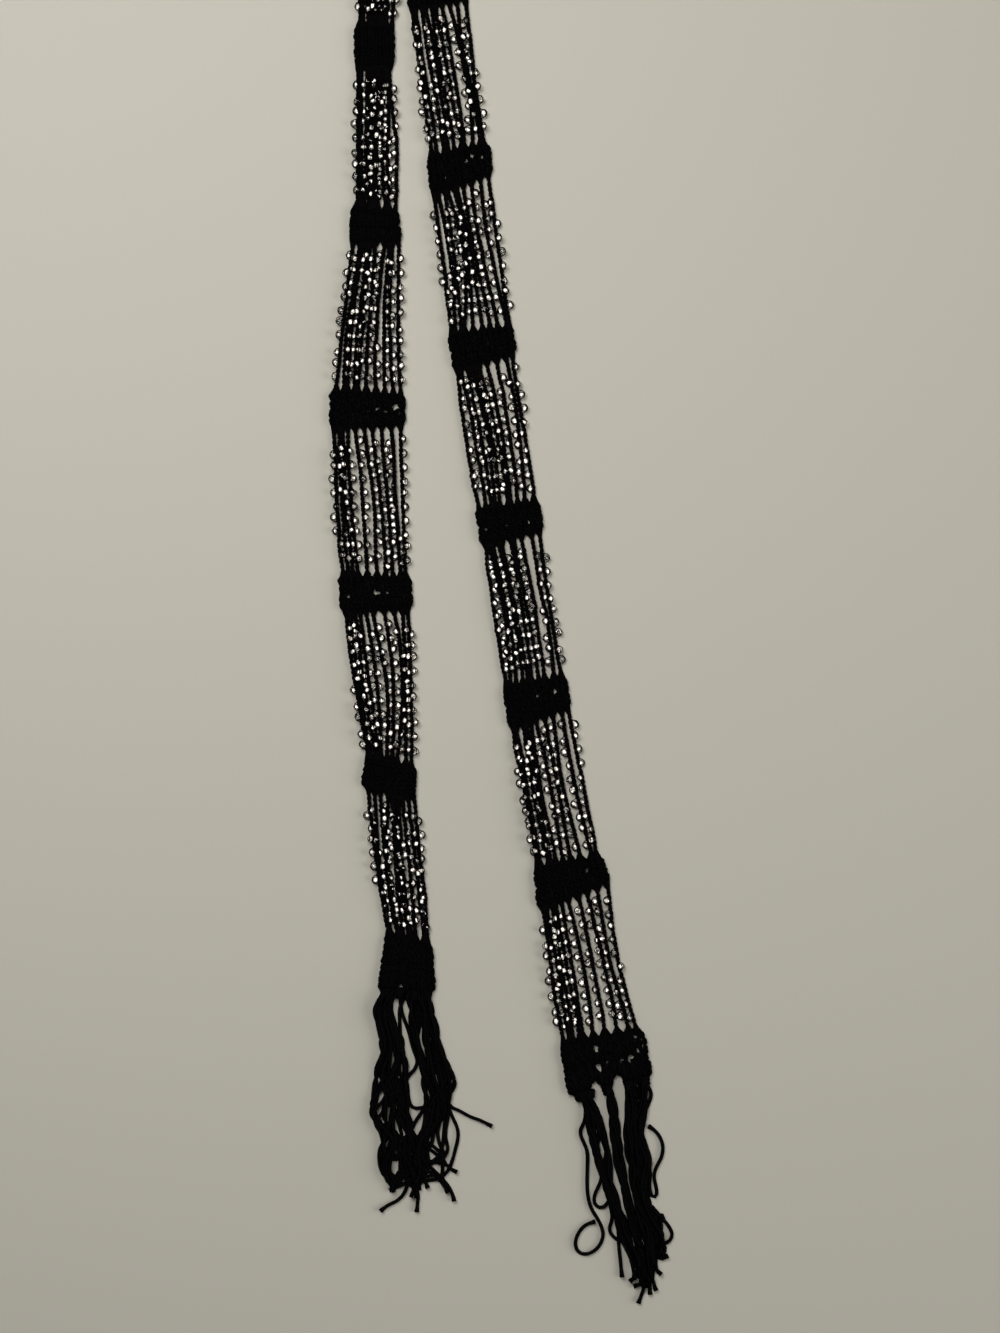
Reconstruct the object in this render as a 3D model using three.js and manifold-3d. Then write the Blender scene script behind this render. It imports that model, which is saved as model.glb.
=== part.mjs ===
// A beaded fringe scarf, folded in half and laid flat: one narrow crocheted length whose two fringed
// tails lie side by side. Solid crocheted bands alternate with open panels of ten cords, and four tufts
// of yarn ends hang from each end band. The tail on the right comes off the fold on top of the tail on
// the left, and drapes down to the table beside it.
// Sizes are in millimetres, +X to the right, +Y away from the fringes, +Z up from the table.

import * as THREE from 'three';
import { mergeVertices } from 'three/addons/utils/BufferGeometryUtils.js';
import Module from 'manifold-3d';

const wasm = await Module();
wasm.setup();

// Driving sizes
const SEAM_GAP = 0.3;
const BAND_THICKNESS = 3.0;
const CORDS_PER_PANEL = 10;
const CORD_THICKNESS = 2.2;
const CORD_WIDTH = 2.2;
const CORD_SHARE = 0.58; // a cord's width as a share of the distance to the next one, where they crowd
const RAIL_LENGTH = 1.6; // the edge stitches that join a panel's cords, along the cords
const ROOT_SHARE = 0.13; // the share of a panel's length over which a cord's root narrows
const LAYER_LIFT = 5.6; // from the table to the underside of the upper tail, over the beads of the lower one

// Bands in order along the scarf, from the left fringe over the fold to the right fringe. x and y are the
// band's middle, near and far its widths at the fringe side and the other, left and right its lengths along
// its two ends, and tilt turns its right end up.
const BANDS = [
  { x: -46.2, y: -148.5, near: 27.5, far: 22.5, left: 27, right: 27, tilt: -3 },
  { x: -55.2, y: -55.5, near: 25.5, far: 24.5, left: 17, right: 17, tilt: -4 },
  { x: -62.0, y: 36.5, near: 34.5, far: 35.5, left: 18, right: 17, tilt: 2 },
  { x: -66.2, y: 128.0, near: 36.0, far: 36.0, left: 18, right: 17, tilt: 1 },
  { x: -62.5, y: 220.5, near: 24.5, far: 22.0, left: 19, right: 18, tilt: 0 },
  { x: -62.7, y: 309.5, near: 18.5, far: 19.0, left: 18, right: 18, tilt: 0 },
  { x: -60.0, y: 399.5, near: 21.0, far: 21.0, left: 18, right: 18, tilt: -2 },
  { x: -57.0, y: 489.0, near: 24.0, far: 24.5, left: 18, right: 18, tilt: -2 },
  { x: -53.5, y: 513.0, near: 26.5, far: 25.5, left: 18, right: 18, tilt: 5 },
  { x: -42.5, y: 425.0, near: 29.0, far: 28.5, left: 18, right: 18, tilt: 8 },
  { x: -31.2, y: 336.5, near: 29.5, far: 29.0, left: 18, right: 17, tilt: 6 },
  { x: -20.0, y: 249.0, near: 31.0, far: 30.5, left: 20, right: 18, tilt: 8 },
  { x: -8.7, y: 159.5, near: 31.0, far: 31.5, left: 18, right: 17, tilt: 8 },
  { x: 4.8, y: 72.5, near: 31.0, far: 31.0, left: 18, right: 17, tilt: 8 },
  { x: 18.5, y: -17.0, near: 31.0, far: 31.0, left: 22, right: 19, tilt: 9 },
  { x: 35.5, y: -106.0, near: 37.0, far: 33.5, left: 22, right: 19, tilt: 11 },
  { x: 52.8, y: -197.0, near: 42.0, far: 40.5, left: 27, right: 23, tilt: 11 },
];
const FOLDED_PANEL = 8; // the panel that turns over the crease, counted from 1
const CREASE_Y = 546;

// How each panel's cords lie: crowd is how much closer together they are at the left than at the right,
// and bow is how far the panel's middle swings to the right.
const PANELS = [
  { crowd: 0.1, bow: 1.0 },
  { crowd: 0.2, bow: 1.6 },
  { crowd: -0.1, bow: 0.5 },
  { crowd: 0.1, bow: -0.6 },
  { crowd: -0.1, bow: 0.4 },
  { crowd: 0, bow: 0 },
  { crowd: 0, bow: 0.5 },
  { crowd: 0, bow: 0 },
  { crowd: 0.1, bow: 0.4 },
  { crowd: 0.1, bow: 0 },
  { crowd: 0.2, bow: -0.6 },
  { crowd: 0.1, bow: -0.5 },
  { crowd: 0.2, bow: -0.6 },
  { crowd: 0.3, bow: 0.4 },
  { crowd: 0.3, bow: 0.6 },
  { crowd: 0.35, bow: -1.6 },
];

// How the upper tail lies: it drops to the table within reach of the lower tail's right edge, it is clear
// of the lower tail below climb, and the crease holds its whole width up above hold.
const DRAPE = { margin: 1, reach: 9, climb: [326, 362], hold: [500, 535] };

// The yarn ends of a tuft: so many side by side in so many layers, each strand three-sided.
// laneFill is the most that a strand takes of its lane.
const TUFT = {
  lanes: 3,
  layers: 2,
  laneFill: 0.85,
  strandWidth: 2.0,
  strandHeight: 1.7,
  layerStep: 1.9,
  floorGap: 0.3,
};
const HEAD = { length: 4.5, height: 3.4, taper: 0.8 };

// Each fringe's tufts: at is the head's place across the end band, share is the part of the bundle that
// the tuft fills, and end is where its longest strand stops.
const FRINGES = [
  {
    side: 'left',
    band: 1,
    tufts: [
      { at: 0.14, head: 6.2, share: [0, 0.5], bundle: 'outer', end: -259 },
      { at: 0.38, head: 6.0, share: [0.5, 1], bundle: 'outer', end: -262 },
      { at: 0.65, head: 5.6, share: [0, 0.5], bundle: 'inner', end: -261 },
      { at: 0.88, head: 5.6, share: [0.5, 1], bundle: 'inner', end: -259 },
    ],
    // The bundles' edges down the fringe: left and right outside, with the parting between them.
    sections: [
      { y: -172, left: -63.5, parting: [-51.0, -46.5], right: -32.5 },
      { y: -189, left: -60.0, parting: [-48.5, -45.5], right: -28.5 },
      { y: -206, left: -66.5, parting: [-45.5, -40.0], right: -21.5 },
      { y: -223, left: -66.0, parting: [-45.5, -39.5], right: -24.5 },
      { y: -237, left: -60.0, parting: [-44.0, -42.0], right: -22.0 },
      { y: -250, left: -60.0, parting: [-43.5, -41.5], right: -24.0 },
      { y: -268, left: -59.0, parting: [-44.0, -42.0], right: -26.0 },
    ],
  },
  {
    side: 'right',
    band: 17,
    tufts: [
      { at: 0.17, head: 11.0, share: [0, 0.52], bundle: 'outer', end: -302 },
      { at: 0.45, head: 5.4, share: [0.52, 1], bundle: 'outer', end: -306 },
      { at: 0.72, head: 5.4, share: [0, 0.45], bundle: 'inner', end: -310 },
      { at: 0.9, head: 6.4, share: [0.45, 1], bundle: 'inner', end: -304 },
    ],
    sections: [
      { y: -230, left: 44.5, parting: [58.5, 60.5], right: 72.0 },
      { y: -249, left: 49.5, parting: [61.0, 62.0], right: 75.0 },
      { y: -267, left: 55.0, parting: [64.5, 65.5], right: 76.5 },
      { y: -284, left: 59.5, parting: [69.5, 70.5], right: 83.5 },
      { y: -298, left: 64.0, parting: [70.5, 71.5], right: 80.5 },
      { y: -314, left: 66.0, parting: [70.5, 71.5], right: 77.0 },
    ],
  },
];

// Strands that leave their bundle: leave is where one turns off, via its way from there, and ring, where
// it has one, the loop that it ends in.
const STRAYS = [
  { tuft: 'fringe_left_tuft_1', lane: 2, leave: -252, via: [[-57, -262], [-58.5, -271]] },
  { tuft: 'fringe_left_tuft_3', lane: 0, leave: -250, via: [[-41.5, -261], [-41.5, -272.5]] },
  { tuft: 'fringe_left_tuft_4', lane: 2, leave: -219, via: [[-19, -222.5], [-12, -226], [-4, -229.8]] },
  {
    tuft: 'fringe_right_tuft_1',
    lane: 0,
    leave: -222,
    via: [[39.8, -232], [43.2, -243], [43.4, -262], [47.4, -276]],
    ring: { x: 44.8, y: -287, radius: 7, from: 50, turn: -325 },
  },
  { tuft: 'fringe_right_tuft_1', lane: 1, leave: -284, via: [[60.6, -294], [61.2, -304.5]] },
  { tuft: 'fringe_right_tuft_3', lane: 1, leave: -300, via: [[71.5, -309], [69, -317.8]] },
  { tuft: 'fringe_right_tuft_4', lane: 2, leave: -258, via: [[78.4, -264], [77, -252], [81.3, -240], [75.6, -230.5]] },
];

const bandBlack = new THREE.MeshStandardMaterial({ color: 0x0d0c0d, roughness: 0.88, metalness: 0 });
const cordBlack = new THREE.MeshStandardMaterial({ color: 0x121012, roughness: 0.82, metalness: 0 });
const fringeBlack = new THREE.MeshStandardMaterial({ color: 0x0a090a, roughness: 0.9, metalness: 0 });

const UP = new THREE.Vector3(0, 0, 1);
const { lerp, smoothstep, degToRad } = THREE.MathUtils;
const point = (flat, z) => new THREE.Vector3(flat.x, flat.y, z);

// One long side of a band on the table: end is 1 for the far side and -1 for the near one. It has its two
// corners, its direction from left to right, and the direction out of the band.
function bandSide(band, end) {
  const across = new THREE.Vector2(1, 0).rotateAround(new THREE.Vector2(), degToRad(band.tilt));
  const along = new THREE.Vector2(-across.y, across.x);
  const width = end > 0 ? band.far : band.near;
  const corner = (side, length) =>
    new THREE.Vector2(band.x, band.y)
      .addScaledVector(across, (side * width) / 2)
      .addScaledVector(along, (end * length) / 2);
  const left = corner(-1, band.left);
  const right = corner(1, band.right);
  const direction = right.clone().sub(left).normalize();
  const out = new THREE.Vector2(-direction.y, direction.x).multiplyScalar(end);
  return { left, right, direction, out, width: left.distanceTo(right) };
}

// The lower tail's right-hand edge at a height y.
function lowerTailEdge(y) {
  const lower = BANDS.slice(0, FOLDED_PANEL);
  const above = lower.findIndex((band) => band.y > y);
  const a = lower[above < 0 ? lower.length - 1 : Math.max(above - 1, 0)];
  const b = lower[above < 0 ? lower.length - 1 : above];
  const t = b.y > a.y ? (y - a.y) / (b.y - a.y) : 0;
  return lerp(a.x + a.near / 2, b.x + b.near / 2, t);
}

// The height of the upper tail's underside at a place.
function drape(place) {
  const beside = (place.x - lowerTailEdge(place.y) - DRAPE.margin) / DRAPE.reach;
  const resting = (1 - smoothstep(beside, 0, 1)) * smoothstep(place.y, ...DRAPE.climb);
  return LAYER_LIFT * Math.max(resting, smoothstep(place.y, ...DRAPE.hold));
}
const onTable = () => 0;
const lieOf = (band) => (band > FOLDED_PANEL ? drape : onTable);

function meshOf(points, faces) {
  const geometry = new THREE.BufferGeometry();
  const positions = points.flatMap((p) => p.toArray());
  const triangles = faces.flatMap((face) => face.slice(2).flatMap((last, i) => [face[0], face[i + 1], last]));
  geometry.setAttribute('position', new THREE.Float32BufferAttribute(positions, 3));
  geometry.setIndex(triangles);
  return geometry;
}

// A crocheted band: a wall with a flat underside, and two rows of tall stitches raised in its upper face.
// Rows go from the near side to the far one: groove lowers the upper face, and inset narrows the band.
const STITCH_ROWS = [
  { at: 0, groove: 0.7, inset: 0.3 },
  { at: 0.22, groove: 0, inset: 0 },
  { at: 0.5, groove: 0.9, inset: 0.9 },
  { at: 0.78, groove: 0, inset: 0 },
  { at: 1, groove: 0.7, inset: 0.3 },
];
const BAND_COLUMNS = 6;
function bandGeometry(band, lie) {
  const near = bandSide(band, -1);
  const far = bandSide(band, 1);
  const [rows, columns] = [STITCH_ROWS.length, BAND_COLUMNS + 1];
  const under = [];
  const upper = [];
  for (const { at, groove, inset } of STITCH_ROWS) {
    for (let i = 0; i < columns; i++) {
      const share = lerp(inset / near.width, 1 - inset / near.width, i / BAND_COLUMNS);
      const place = near.left.clone().lerp(near.right, share);
      place.lerp(far.left.clone().lerp(far.right, share), at);
      under.push(point(place, lie(place)));
      upper.push(point(place, lie(place) + BAND_THICKNESS - groove));
    }
  }
  const low = (j, i) => j * columns + i;
  const high = (j, i) => rows * columns + low(j, i);
  const faces = [];
  for (let j = 0; j + 1 < rows; j++) {
    for (let i = 0; i + 1 < columns; i++) {
      faces.push([high(j, i), high(j, i + 1), high(j + 1, i + 1), high(j + 1, i)]);
      faces.push([low(j, i), low(j + 1, i), low(j + 1, i + 1), low(j, i + 1)]);
    }
    faces.push([low(j + 1, 0), low(j, 0), high(j, 0), high(j + 1, 0)]);
    faces.push([low(j, columns - 1), low(j + 1, columns - 1), high(j + 1, columns - 1), high(j, columns - 1)]);
  }
  for (let i = 0; i + 1 < columns; i++) {
    faces.push([low(0, i), low(0, i + 1), high(0, i + 1), high(0, i)]);
    faces.push([low(rows - 1, i + 1), low(rows - 1, i), high(rows - 1, i), high(rows - 1, i + 1)]);
  }
  return meshOf([...under, ...upper], faces);
}

// Sections of a cord or strand, as shares of its width and height, turning left about its direction.
const CORD_SECTION = [[-0.5, 0], [0.5, 0], [0.3, 1], [-0.3, 1]];
const STRAND_SECTION = [[-0.5, 0], [0.5, 0], [0, 1]];

// The corners of a ring: foot is the middle of the section's wide side, and across and up turn it.
function ringPoints(ring, section) {
  return section.map(([side, high]) =>
    ring.foot
      .clone()
      .addScaledVector(ring.across, side * ring.width)
      .addScaledVector(ring.up, high * ring.height),
  );
}

// A bar through rings.
function barGeometry(rings, section) {
  const corners = section.length;
  const faces = [];
  for (let i = 0; i + 1 < rings.length; i++) {
    for (let k = 0; k < corners; k++) {
      const next = (k + 1) % corners;
      faces.push([i * corners + k, (i + 1) * corners + k, (i + 1) * corners + next, i * corners + next]);
    }
  }
  const start = section.map((_, k) => k);
  const end = start.map((k) => (rings.length - 1) * corners + k).reverse();
  return meshOf(
    rings.flatMap((ring) => ringPoints(ring, section)),
    [start, ...faces, end],
  );
}

// A panel: its cords side by side, each through its rings, joined to the next along the first and last
// stretch of rings, which are the panel's edge stitches.
function combGeometry(cords) {
  const rings = cords[0].length;
  const at = (cord, ring, corner) => (cord * rings + ring) * CORD_SECTION.length + corner;
  const [LOW_LEFT, LOW_RIGHT, HIGH_RIGHT, HIGH_LEFT] = [0, 1, 2, 3];
  const faces = [];
  cords.forEach((_, c) => {
    const last = rings - 1;
    faces.push([0, 1, 2, 3].map((k) => at(c, 0, k)));
    faces.push([3, 2, 1, 0].map((k) => at(c, last, k)));
    for (let i = 0; i < last; i++) {
      const joined = i === 0 || i === last - 1;
      const side = (k, next) => faces.push([at(c, i, k), at(c, i + 1, k), at(c, i + 1, next), at(c, i, next)]);
      side(LOW_LEFT, LOW_RIGHT);
      side(HIGH_RIGHT, HIGH_LEFT);
      if (!joined || c === cords.length - 1) side(LOW_RIGHT, HIGH_RIGHT);
      if (!joined || c === 0) side(HIGH_LEFT, LOW_LEFT);
      if (!joined || c === cords.length - 1) continue;
      const here = (k, j) => at(c, j, k);
      const there = (k, j) => at(c + 1, j, k);
      faces.push([here(LOW_RIGHT, i), here(LOW_RIGHT, i + 1), there(LOW_LEFT, i + 1), there(LOW_LEFT, i)]);
      faces.push([here(HIGH_RIGHT, i), there(HIGH_LEFT, i), there(HIGH_LEFT, i + 1), here(HIGH_RIGHT, i + 1)]);
      faces.push([here(LOW_RIGHT, i), there(LOW_LEFT, i), there(HIGH_LEFT, i), here(HIGH_RIGHT, i)]);
      const j = i + 1;
      faces.push([there(LOW_LEFT, j), here(LOW_RIGHT, j), here(HIGH_RIGHT, j), there(HIGH_LEFT, j)]);
    }
  });
  const points = cords.flatMap((cord) => cord.flatMap((ring) => ringPoints(ring, CORD_SECTION)));
  return meshOf(points, faces);
}

// Where a cord leaves a band's long side, so far out from the band.
function rootPlace(side, share, distance) {
  return side.left.clone().lerp(side.right, share).addScaledVector(side.out, distance);
}

const cordShare = (cord) => (cord + 0.5) / CORDS_PER_PANEL;
const rootWidth = (side) => (side.width / CORDS_PER_PANEL) * 0.86;

// The rings of one cord of a flat panel, from the side nearer the fringes to the other.
function flatCord(near, far, cord, { crowd, bow }, lie) {
  const share = cordShare(cord);
  const stations = [0, 0, ROOT_SHARE, 0.5, 1 - ROOT_SHARE, 1, 1];
  const starts = rootPlace(near, share, SEAM_GAP + RAIL_LENGTH);
  const ends = rootPlace(far, share, SEAM_GAP + RAIL_LENGTH);
  return stations.map((t, i) => {
    const place = starts.clone().lerp(ends, t);
    if (i === 0) place.copy(rootPlace(near, share, SEAM_GAP));
    if (i === stations.length - 1) place.copy(rootPlace(far, share, SEAM_GAP));
    const width = lerp(near.width, far.width, t);
    const swell = Math.sin(Math.PI * t);
    place.x += swell * (bow - crowd * width * share * (1 - share));
    const pitch = width / CORDS_PER_PANEL;
    const root = t === 0 || t === 1;
    return {
      foot: point(place, lie(place)),
      across: point(near.direction.clone().lerp(far.direction, t).normalize(), 0),
      up: UP,
      width: root ? lerp(rootWidth(near), rootWidth(far), t) : Math.min(CORD_WIDTH, pitch * CORD_SHARE),
      height: CORD_THICKNESS,
    };
  });
}

// The rings of one cord of the folded panel: along the table to the crease, round it and back on top.
function foldedCord(near, far, cord, lie) {
  const share = cordShare(cord);
  const starts = rootPlace(near, share, SEAM_GAP + RAIL_LENGTH);
  const ends = rootPlace(far, share, SEAM_GAP + RAIL_LENGTH);
  const radius = (LAYER_LIFT + CORD_THICKNESS) / 2;
  const turn = [0, 45, 90, 135, 180];
  const width = Math.min(CORD_WIDTH, (near.width / CORDS_PER_PANEL) * CORD_SHARE);
  const lower = (place, span) => ({ foot: point(place, 0), across: point(near.direction, 0), up: UP, width: span });
  const upper = (place, span) => ({
    foot: point(place, lie(place) + CORD_THICKNESS),
    across: point(far.direction, 0),
    up: UP.clone().negate(),
    width: span,
  });
  const arc = turn.map((angle) => {
    const radians = degToRad(angle);
    const x = lerp(starts.x, ends.x, lerp(0.45, 0.55, angle / 180));
    const out = new THREE.Vector3(0, Math.sin(radians), -Math.cos(radians));
    const centre = new THREE.Vector3(x, CREASE_Y - radius, radius);
    return { foot: centre.addScaledVector(out, radius), across: point({ x: 1, y: 0 }, 0), up: out.negate(), width };
  });
  const rings = [
    lower(rootPlace(near, share, SEAM_GAP), rootWidth(near)),
    lower(starts, rootWidth(near)),
    lower(starts.clone().lerp(new THREE.Vector2(arc[0].foot.x, arc[0].foot.y), 0.25), width),
    ...arc,
    upper(ends, rootWidth(far)),
    upper(rootPlace(far, share, SEAM_GAP), rootWidth(far)),
  ];
  return rings.map((ring) => ({ ...ring, height: CORD_THICKNESS }));
}

// The panel between two bands that follow each other along the scarf.
function panelGeometry(number) {
  const cords = Array.from({ length: CORDS_PER_PANEL }, (_, c) => c);
  const [before, after] = [BANDS[number - 1], BANDS[number]];
  if (number === FOLDED_PANEL) {
    const [near, far] = [bandSide(before, 1), bandSide(after, 1)];
    return combGeometry(cords.map((cord) => foldedCord(near, far, cord, drape)));
  }
  const [lower, upper] = number < FOLDED_PANEL ? [before, after] : [after, before];
  const [near, far] = [bandSide(lower, 1), bandSide(upper, -1)];
  const lie = lieOf(number + 1);
  return combGeometry(cords.map((cord) => flatCord(near, far, cord, PANELS[number - 1], lie)));
}

// Joins closed geometries into one.
function joined(geometries) {
  const solids = geometries.map((geometry) => {
    const whole = mergeVertices(geometry, 1e-4);
    const vertProperties = new Float32Array(whole.attributes.position.array);
    const triVerts = new Uint32Array(whole.index.array);
    return new wasm.Manifold(new wasm.Mesh({ numProp: 3, vertProperties, triVerts }));
  });
  const mesh = solids.reduce((all, solid) => all.add(solid)).getMesh();
  const geometry = new THREE.BufferGeometry();
  geometry.setAttribute('position', new THREE.Float32BufferAttribute(mesh.vertProperties, 3));
  geometry.setIndex(Array.from(mesh.triVerts));
  return geometry;
}

// Rings along a way, each upright and square to it.
function strandRings(way) {
  return way.map(({ foot, width }, i) => {
    const ahead = way[Math.min(i + 1, way.length - 1)].foot;
    const behind = way[Math.max(i - 1, 0)].foot;
    const direction = ahead.clone().sub(behind).setZ(0).normalize();
    return { foot, across: direction.cross(UP), up: UP, width, height: TUFT.strandHeight };
  });
}

// The way of one strand down its bundle, as far as stop, with its width at each place. lane goes from 0 at
// the tuft's left to 1 at its right. Strands are thinner where the bundle narrows, so they stand apart.
function strandWay(fringe, tuft, start, lane, z, stop) {
  const [from, to] = tuft.share;
  const [a, b] = { outer: ['left', 'parting'], inner: ['parting', 'right'] }[tuft.bundle];
  const place = (section) => {
    const left = a === 'parting' ? section.parting[1] : section.left;
    const right = b === 'parting' ? section.parting[0] : section.right;
    const pitch = ((right - left) * (to - from)) / TUFT.lanes;
    const foot = new THREE.Vector3(lerp(left, right, lerp(from, to, lane)), section.y, z);
    return { foot, width: Math.min(TUFT.strandWidth, pitch * TUFT.laneFill) };
  };
  const sections = fringe.sections.map(place).filter(({ foot }) => foot.y < start.y - HEAD.length);
  const route = [{ foot: start, width: sections[0].width }, ...sections];
  const cut = route.findIndex(({ foot }) => foot.y < stop);
  const [before, after] = [route[cut - 1], route[cut]];
  const t = (stop - before.foot.y) / (after.foot.y - before.foot.y);
  const tip = { foot: before.foot.clone().lerp(after.foot, t), width: lerp(before.width, after.width, t) };
  return [...route.slice(0, cut), tip];
}

// The way of a stray strand after it has left its bundle.
const RING_STEPS = 12;
function strayWay(stray, z) {
  const places = stray.via.map(([x, y]) => new THREE.Vector3(x, y, z));
  if (stray.ring) {
    const { x, y, radius, from, turn } = stray.ring;
    for (let i = 0; i <= RING_STEPS; i++) {
      const angle = degToRad(from + (turn * i) / RING_STEPS);
      places.push(new THREE.Vector3(x + radius * Math.cos(angle), y + radius * Math.sin(angle), z));
    }
  }
  return places.map((foot) => ({ foot, width: TUFT.strandWidth }));
}

// A tuft: its knotted head on the end band's edge, and its strands, which stand apart below the head.
function tuftGeometry(fringe, tuft, name) {
  const side = bandSide(BANDS[fringe.band - 1], -1);
  const knot = [0, 0.5, 1].map((t) => ({
    foot: point(rootPlace(side, tuft.at, SEAM_GAP + t * HEAD.length), t === 0 ? 0 : TUFT.floorGap),
    across: point(side.direction, 0).negate(),
    up: UP,
    width: tuft.head * lerp(1, HEAD.taper, t),
    height: HEAD.height,
  }));
  const parts = [barGeometry(knot, CORD_SECTION)];
  const anchor = rootPlace(side, tuft.at, SEAM_GAP + HEAD.length * 0.7);
  for (let layer = 0; layer < TUFT.layers; layer++) {
    for (let lane = 0; lane < TUFT.lanes; lane++) {
      const share = (lane + 0.35 + 0.3 * layer) / TUFT.lanes;
      const rootZ = TUFT.floorGap + 0.1 + layer * 1.1;
      const start = point(anchor.clone().addScaledVector(side.direction, (share - 0.5) * tuft.head * 0.66), rootZ);
      const z = TUFT.floorGap + layer * TUFT.layerStep;
      const stray = layer === 0 && STRAYS.find((row) => row.tuft === name && row.lane === lane);
      const stop = stray ? stray.leave : tuft.end + ((lane * 5 + layer * 7) % 9);
      const way = strandWay(fringe, tuft, start, share, z, stop);
      if (stray) way.push(...strayWay(stray, z));
      parts.push(barGeometry(strandRings(way), STRAND_SECTION));
    }
  }
  return joined(parts);
}

// The scarf
const scarf = new THREE.Group();
const numbered = (name, number) => `${name}_${String(number).padStart(2, '0')}`;
function add(name, geometry, material) {
  geometry.computeVertexNormals();
  const mesh = new THREE.Mesh(geometry, material);
  mesh.name = name;
  scarf.add(mesh);
}

BANDS.forEach((band, i) => add(numbered('band', i + 1), bandGeometry(band, lieOf(i + 1)), bandBlack));
PANELS.forEach((_, i) => add(numbered('beaded_panel', i + 1), panelGeometry(i + 1), cordBlack));
for (const fringe of FRINGES) {
  fringe.tufts.forEach((tuft, i) => {
    const name = `fringe_${fringe.side}_tuft_${i + 1}`;
    add(name, tuftGeometry(fringe, tuft, name), fringeBlack);
  });
}

// The origin is under the middle of the whole scarf, on the table.
const extent = new THREE.Box3().setFromObject(scarf);
const middle = extent.getCenter(new THREE.Vector3());
scarf.position.set(-middle.x, -middle.y, -extent.min.z);

export default scarf;
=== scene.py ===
"""Looks of a beaded fringe scarf, folded in half and laid flat on a pale table.

Seventeen crocheted bands, sixteen panels of beaded chain cords and a knotted fringe at each end are made in
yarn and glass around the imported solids. Tables are in millimetres, measured from the middle of the
photograph: +X to the right, +Y away from the fringes, +Z up from the table. Blender's own objects are in
metres.
"""

import logging
import math
from collections.abc import Callable
from dataclasses import dataclass
from enum import Enum, IntEnum
from typing import ClassVar

import bpy
import numpy as np
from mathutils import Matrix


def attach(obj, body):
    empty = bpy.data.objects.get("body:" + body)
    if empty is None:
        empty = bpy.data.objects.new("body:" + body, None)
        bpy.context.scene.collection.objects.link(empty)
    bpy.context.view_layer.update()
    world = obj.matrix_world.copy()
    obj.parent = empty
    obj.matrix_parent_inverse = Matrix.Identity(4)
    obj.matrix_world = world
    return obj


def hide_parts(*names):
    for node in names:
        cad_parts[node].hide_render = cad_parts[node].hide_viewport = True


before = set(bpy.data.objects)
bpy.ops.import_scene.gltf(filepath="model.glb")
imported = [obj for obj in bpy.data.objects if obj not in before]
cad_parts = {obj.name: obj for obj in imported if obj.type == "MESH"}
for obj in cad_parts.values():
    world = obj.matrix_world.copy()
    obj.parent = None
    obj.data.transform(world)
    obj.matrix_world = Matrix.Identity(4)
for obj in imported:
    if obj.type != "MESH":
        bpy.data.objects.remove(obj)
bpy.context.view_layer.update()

MM = 0.001
BODY = "root"
UP = np.array([0.0, 0.0, 1.0])
LOG = logging.getLogger("scarf")

# Driving sizes, in millimetres
CORDS_PER_PANEL = 10
FOLDED_PANEL = 8
CORD_RADIUS = 1.1
STITCH = 2.6  # one chain stitch along a cord
BEAD_RADIUS = 1.6
BEAD_LENGTH = 2.6
BEAD_PITCH = 6.6
YARN_RADIUS = 0.93  # the fringe's yarn

# How the upper tail lies: it drops to the table within reach of the lower tail's right edge, it is clear of
# the lower tail below climb, and the crease holds its whole width up above hold.
DRAPE_MARGIN = 1.0
DRAPE_REACH = 9.0
DRAPE_CLIMB = (326.0, 362.0)
DRAPE_HOLD = (500.0, 535.0)
CREASE_Y = 546.0

# How far the photographed bands' corners lie inside their solids' ones, where the cords' roots open: near
# left and right, far left and right, in millimetres
DRAWN_BACK = {
    1: (0.0, 0.0, 0.0, 4.0),
    2: (3.3, 0.0, 0.0, 3.0),
    3: (1.0, 1.0, 0.5, 2.6),
    4: (1.2, 1.4, 0.0, 2.2),
    5: (1.5, 1.5, 1.0, 3.0),
    11: (3.0, 4.5, 1.5, 1.5),
    12: (0.0, 4.6, 3.5, 0.0),
    13: (0.0, 4.0, 1.5, 1.5),
    14: (0.0, 2.3, 2.0, 1.8),
    15: (0.0, 4.4, 2.5, 0.8),
    16: (0.0, 4.8, 3.0, 2.3),
    17: (0.0, 0.0, 1.3, 0.0),
}

# The middle of this band, measured in the photograph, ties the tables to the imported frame.
ANCHOR_BAND = "band_04"
ANCHOR_PLACE = (-66.2, 128.0)


class BeadSide(IntEnum):
    """The side of a cord on which its beads hang."""

    LEFT = -1
    RIGHT = 1


class Slot(Enum):
    """The record's material slots."""

    BAND = "band_yarn"
    CORD = "cord_yarn"
    FRINGE = "fringe_yarn"
    BEAD = "glass_bead"


def smoothstep(value: np.ndarray, low: float, high: float) -> np.ndarray:
    """A smooth rise from 0 at low to 1 at high."""
    t = np.clip((value - low) / (high - low), 0, 1)
    return t * t * (3 - 2 * t)


def unit(vectors: np.ndarray) -> np.ndarray:
    """The same directions with length 1."""
    return vectors / np.maximum(np.linalg.norm(vectors, axis=-1, keepdims=True), 1e-9)


def node_points(node: str) -> np.ndarray:
    """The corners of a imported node's mesh, in millimetres."""
    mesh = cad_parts[node].data
    flat = np.empty(len(mesh.vertices) * 3, np.float32)
    mesh.vertices.foreach_get("co", flat)
    return flat.reshape(-1, 3).astype(float) / MM


def table_shift() -> np.ndarray:
    """The step from the photograph's middle to the frame's origin, in millimetres."""
    points = node_points(ANCHOR_BAND)[:, :2]
    return (points.min(0) + points.max(0)) / 2 - np.array(ANCHOR_PLACE)


SHIFT = table_shift()


def way_length(way: np.ndarray) -> np.ndarray:
    """The length of a way, or of each way of a batch."""
    return np.linalg.norm(np.diff(way, axis=-2), axis=-1).sum(-1)


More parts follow.
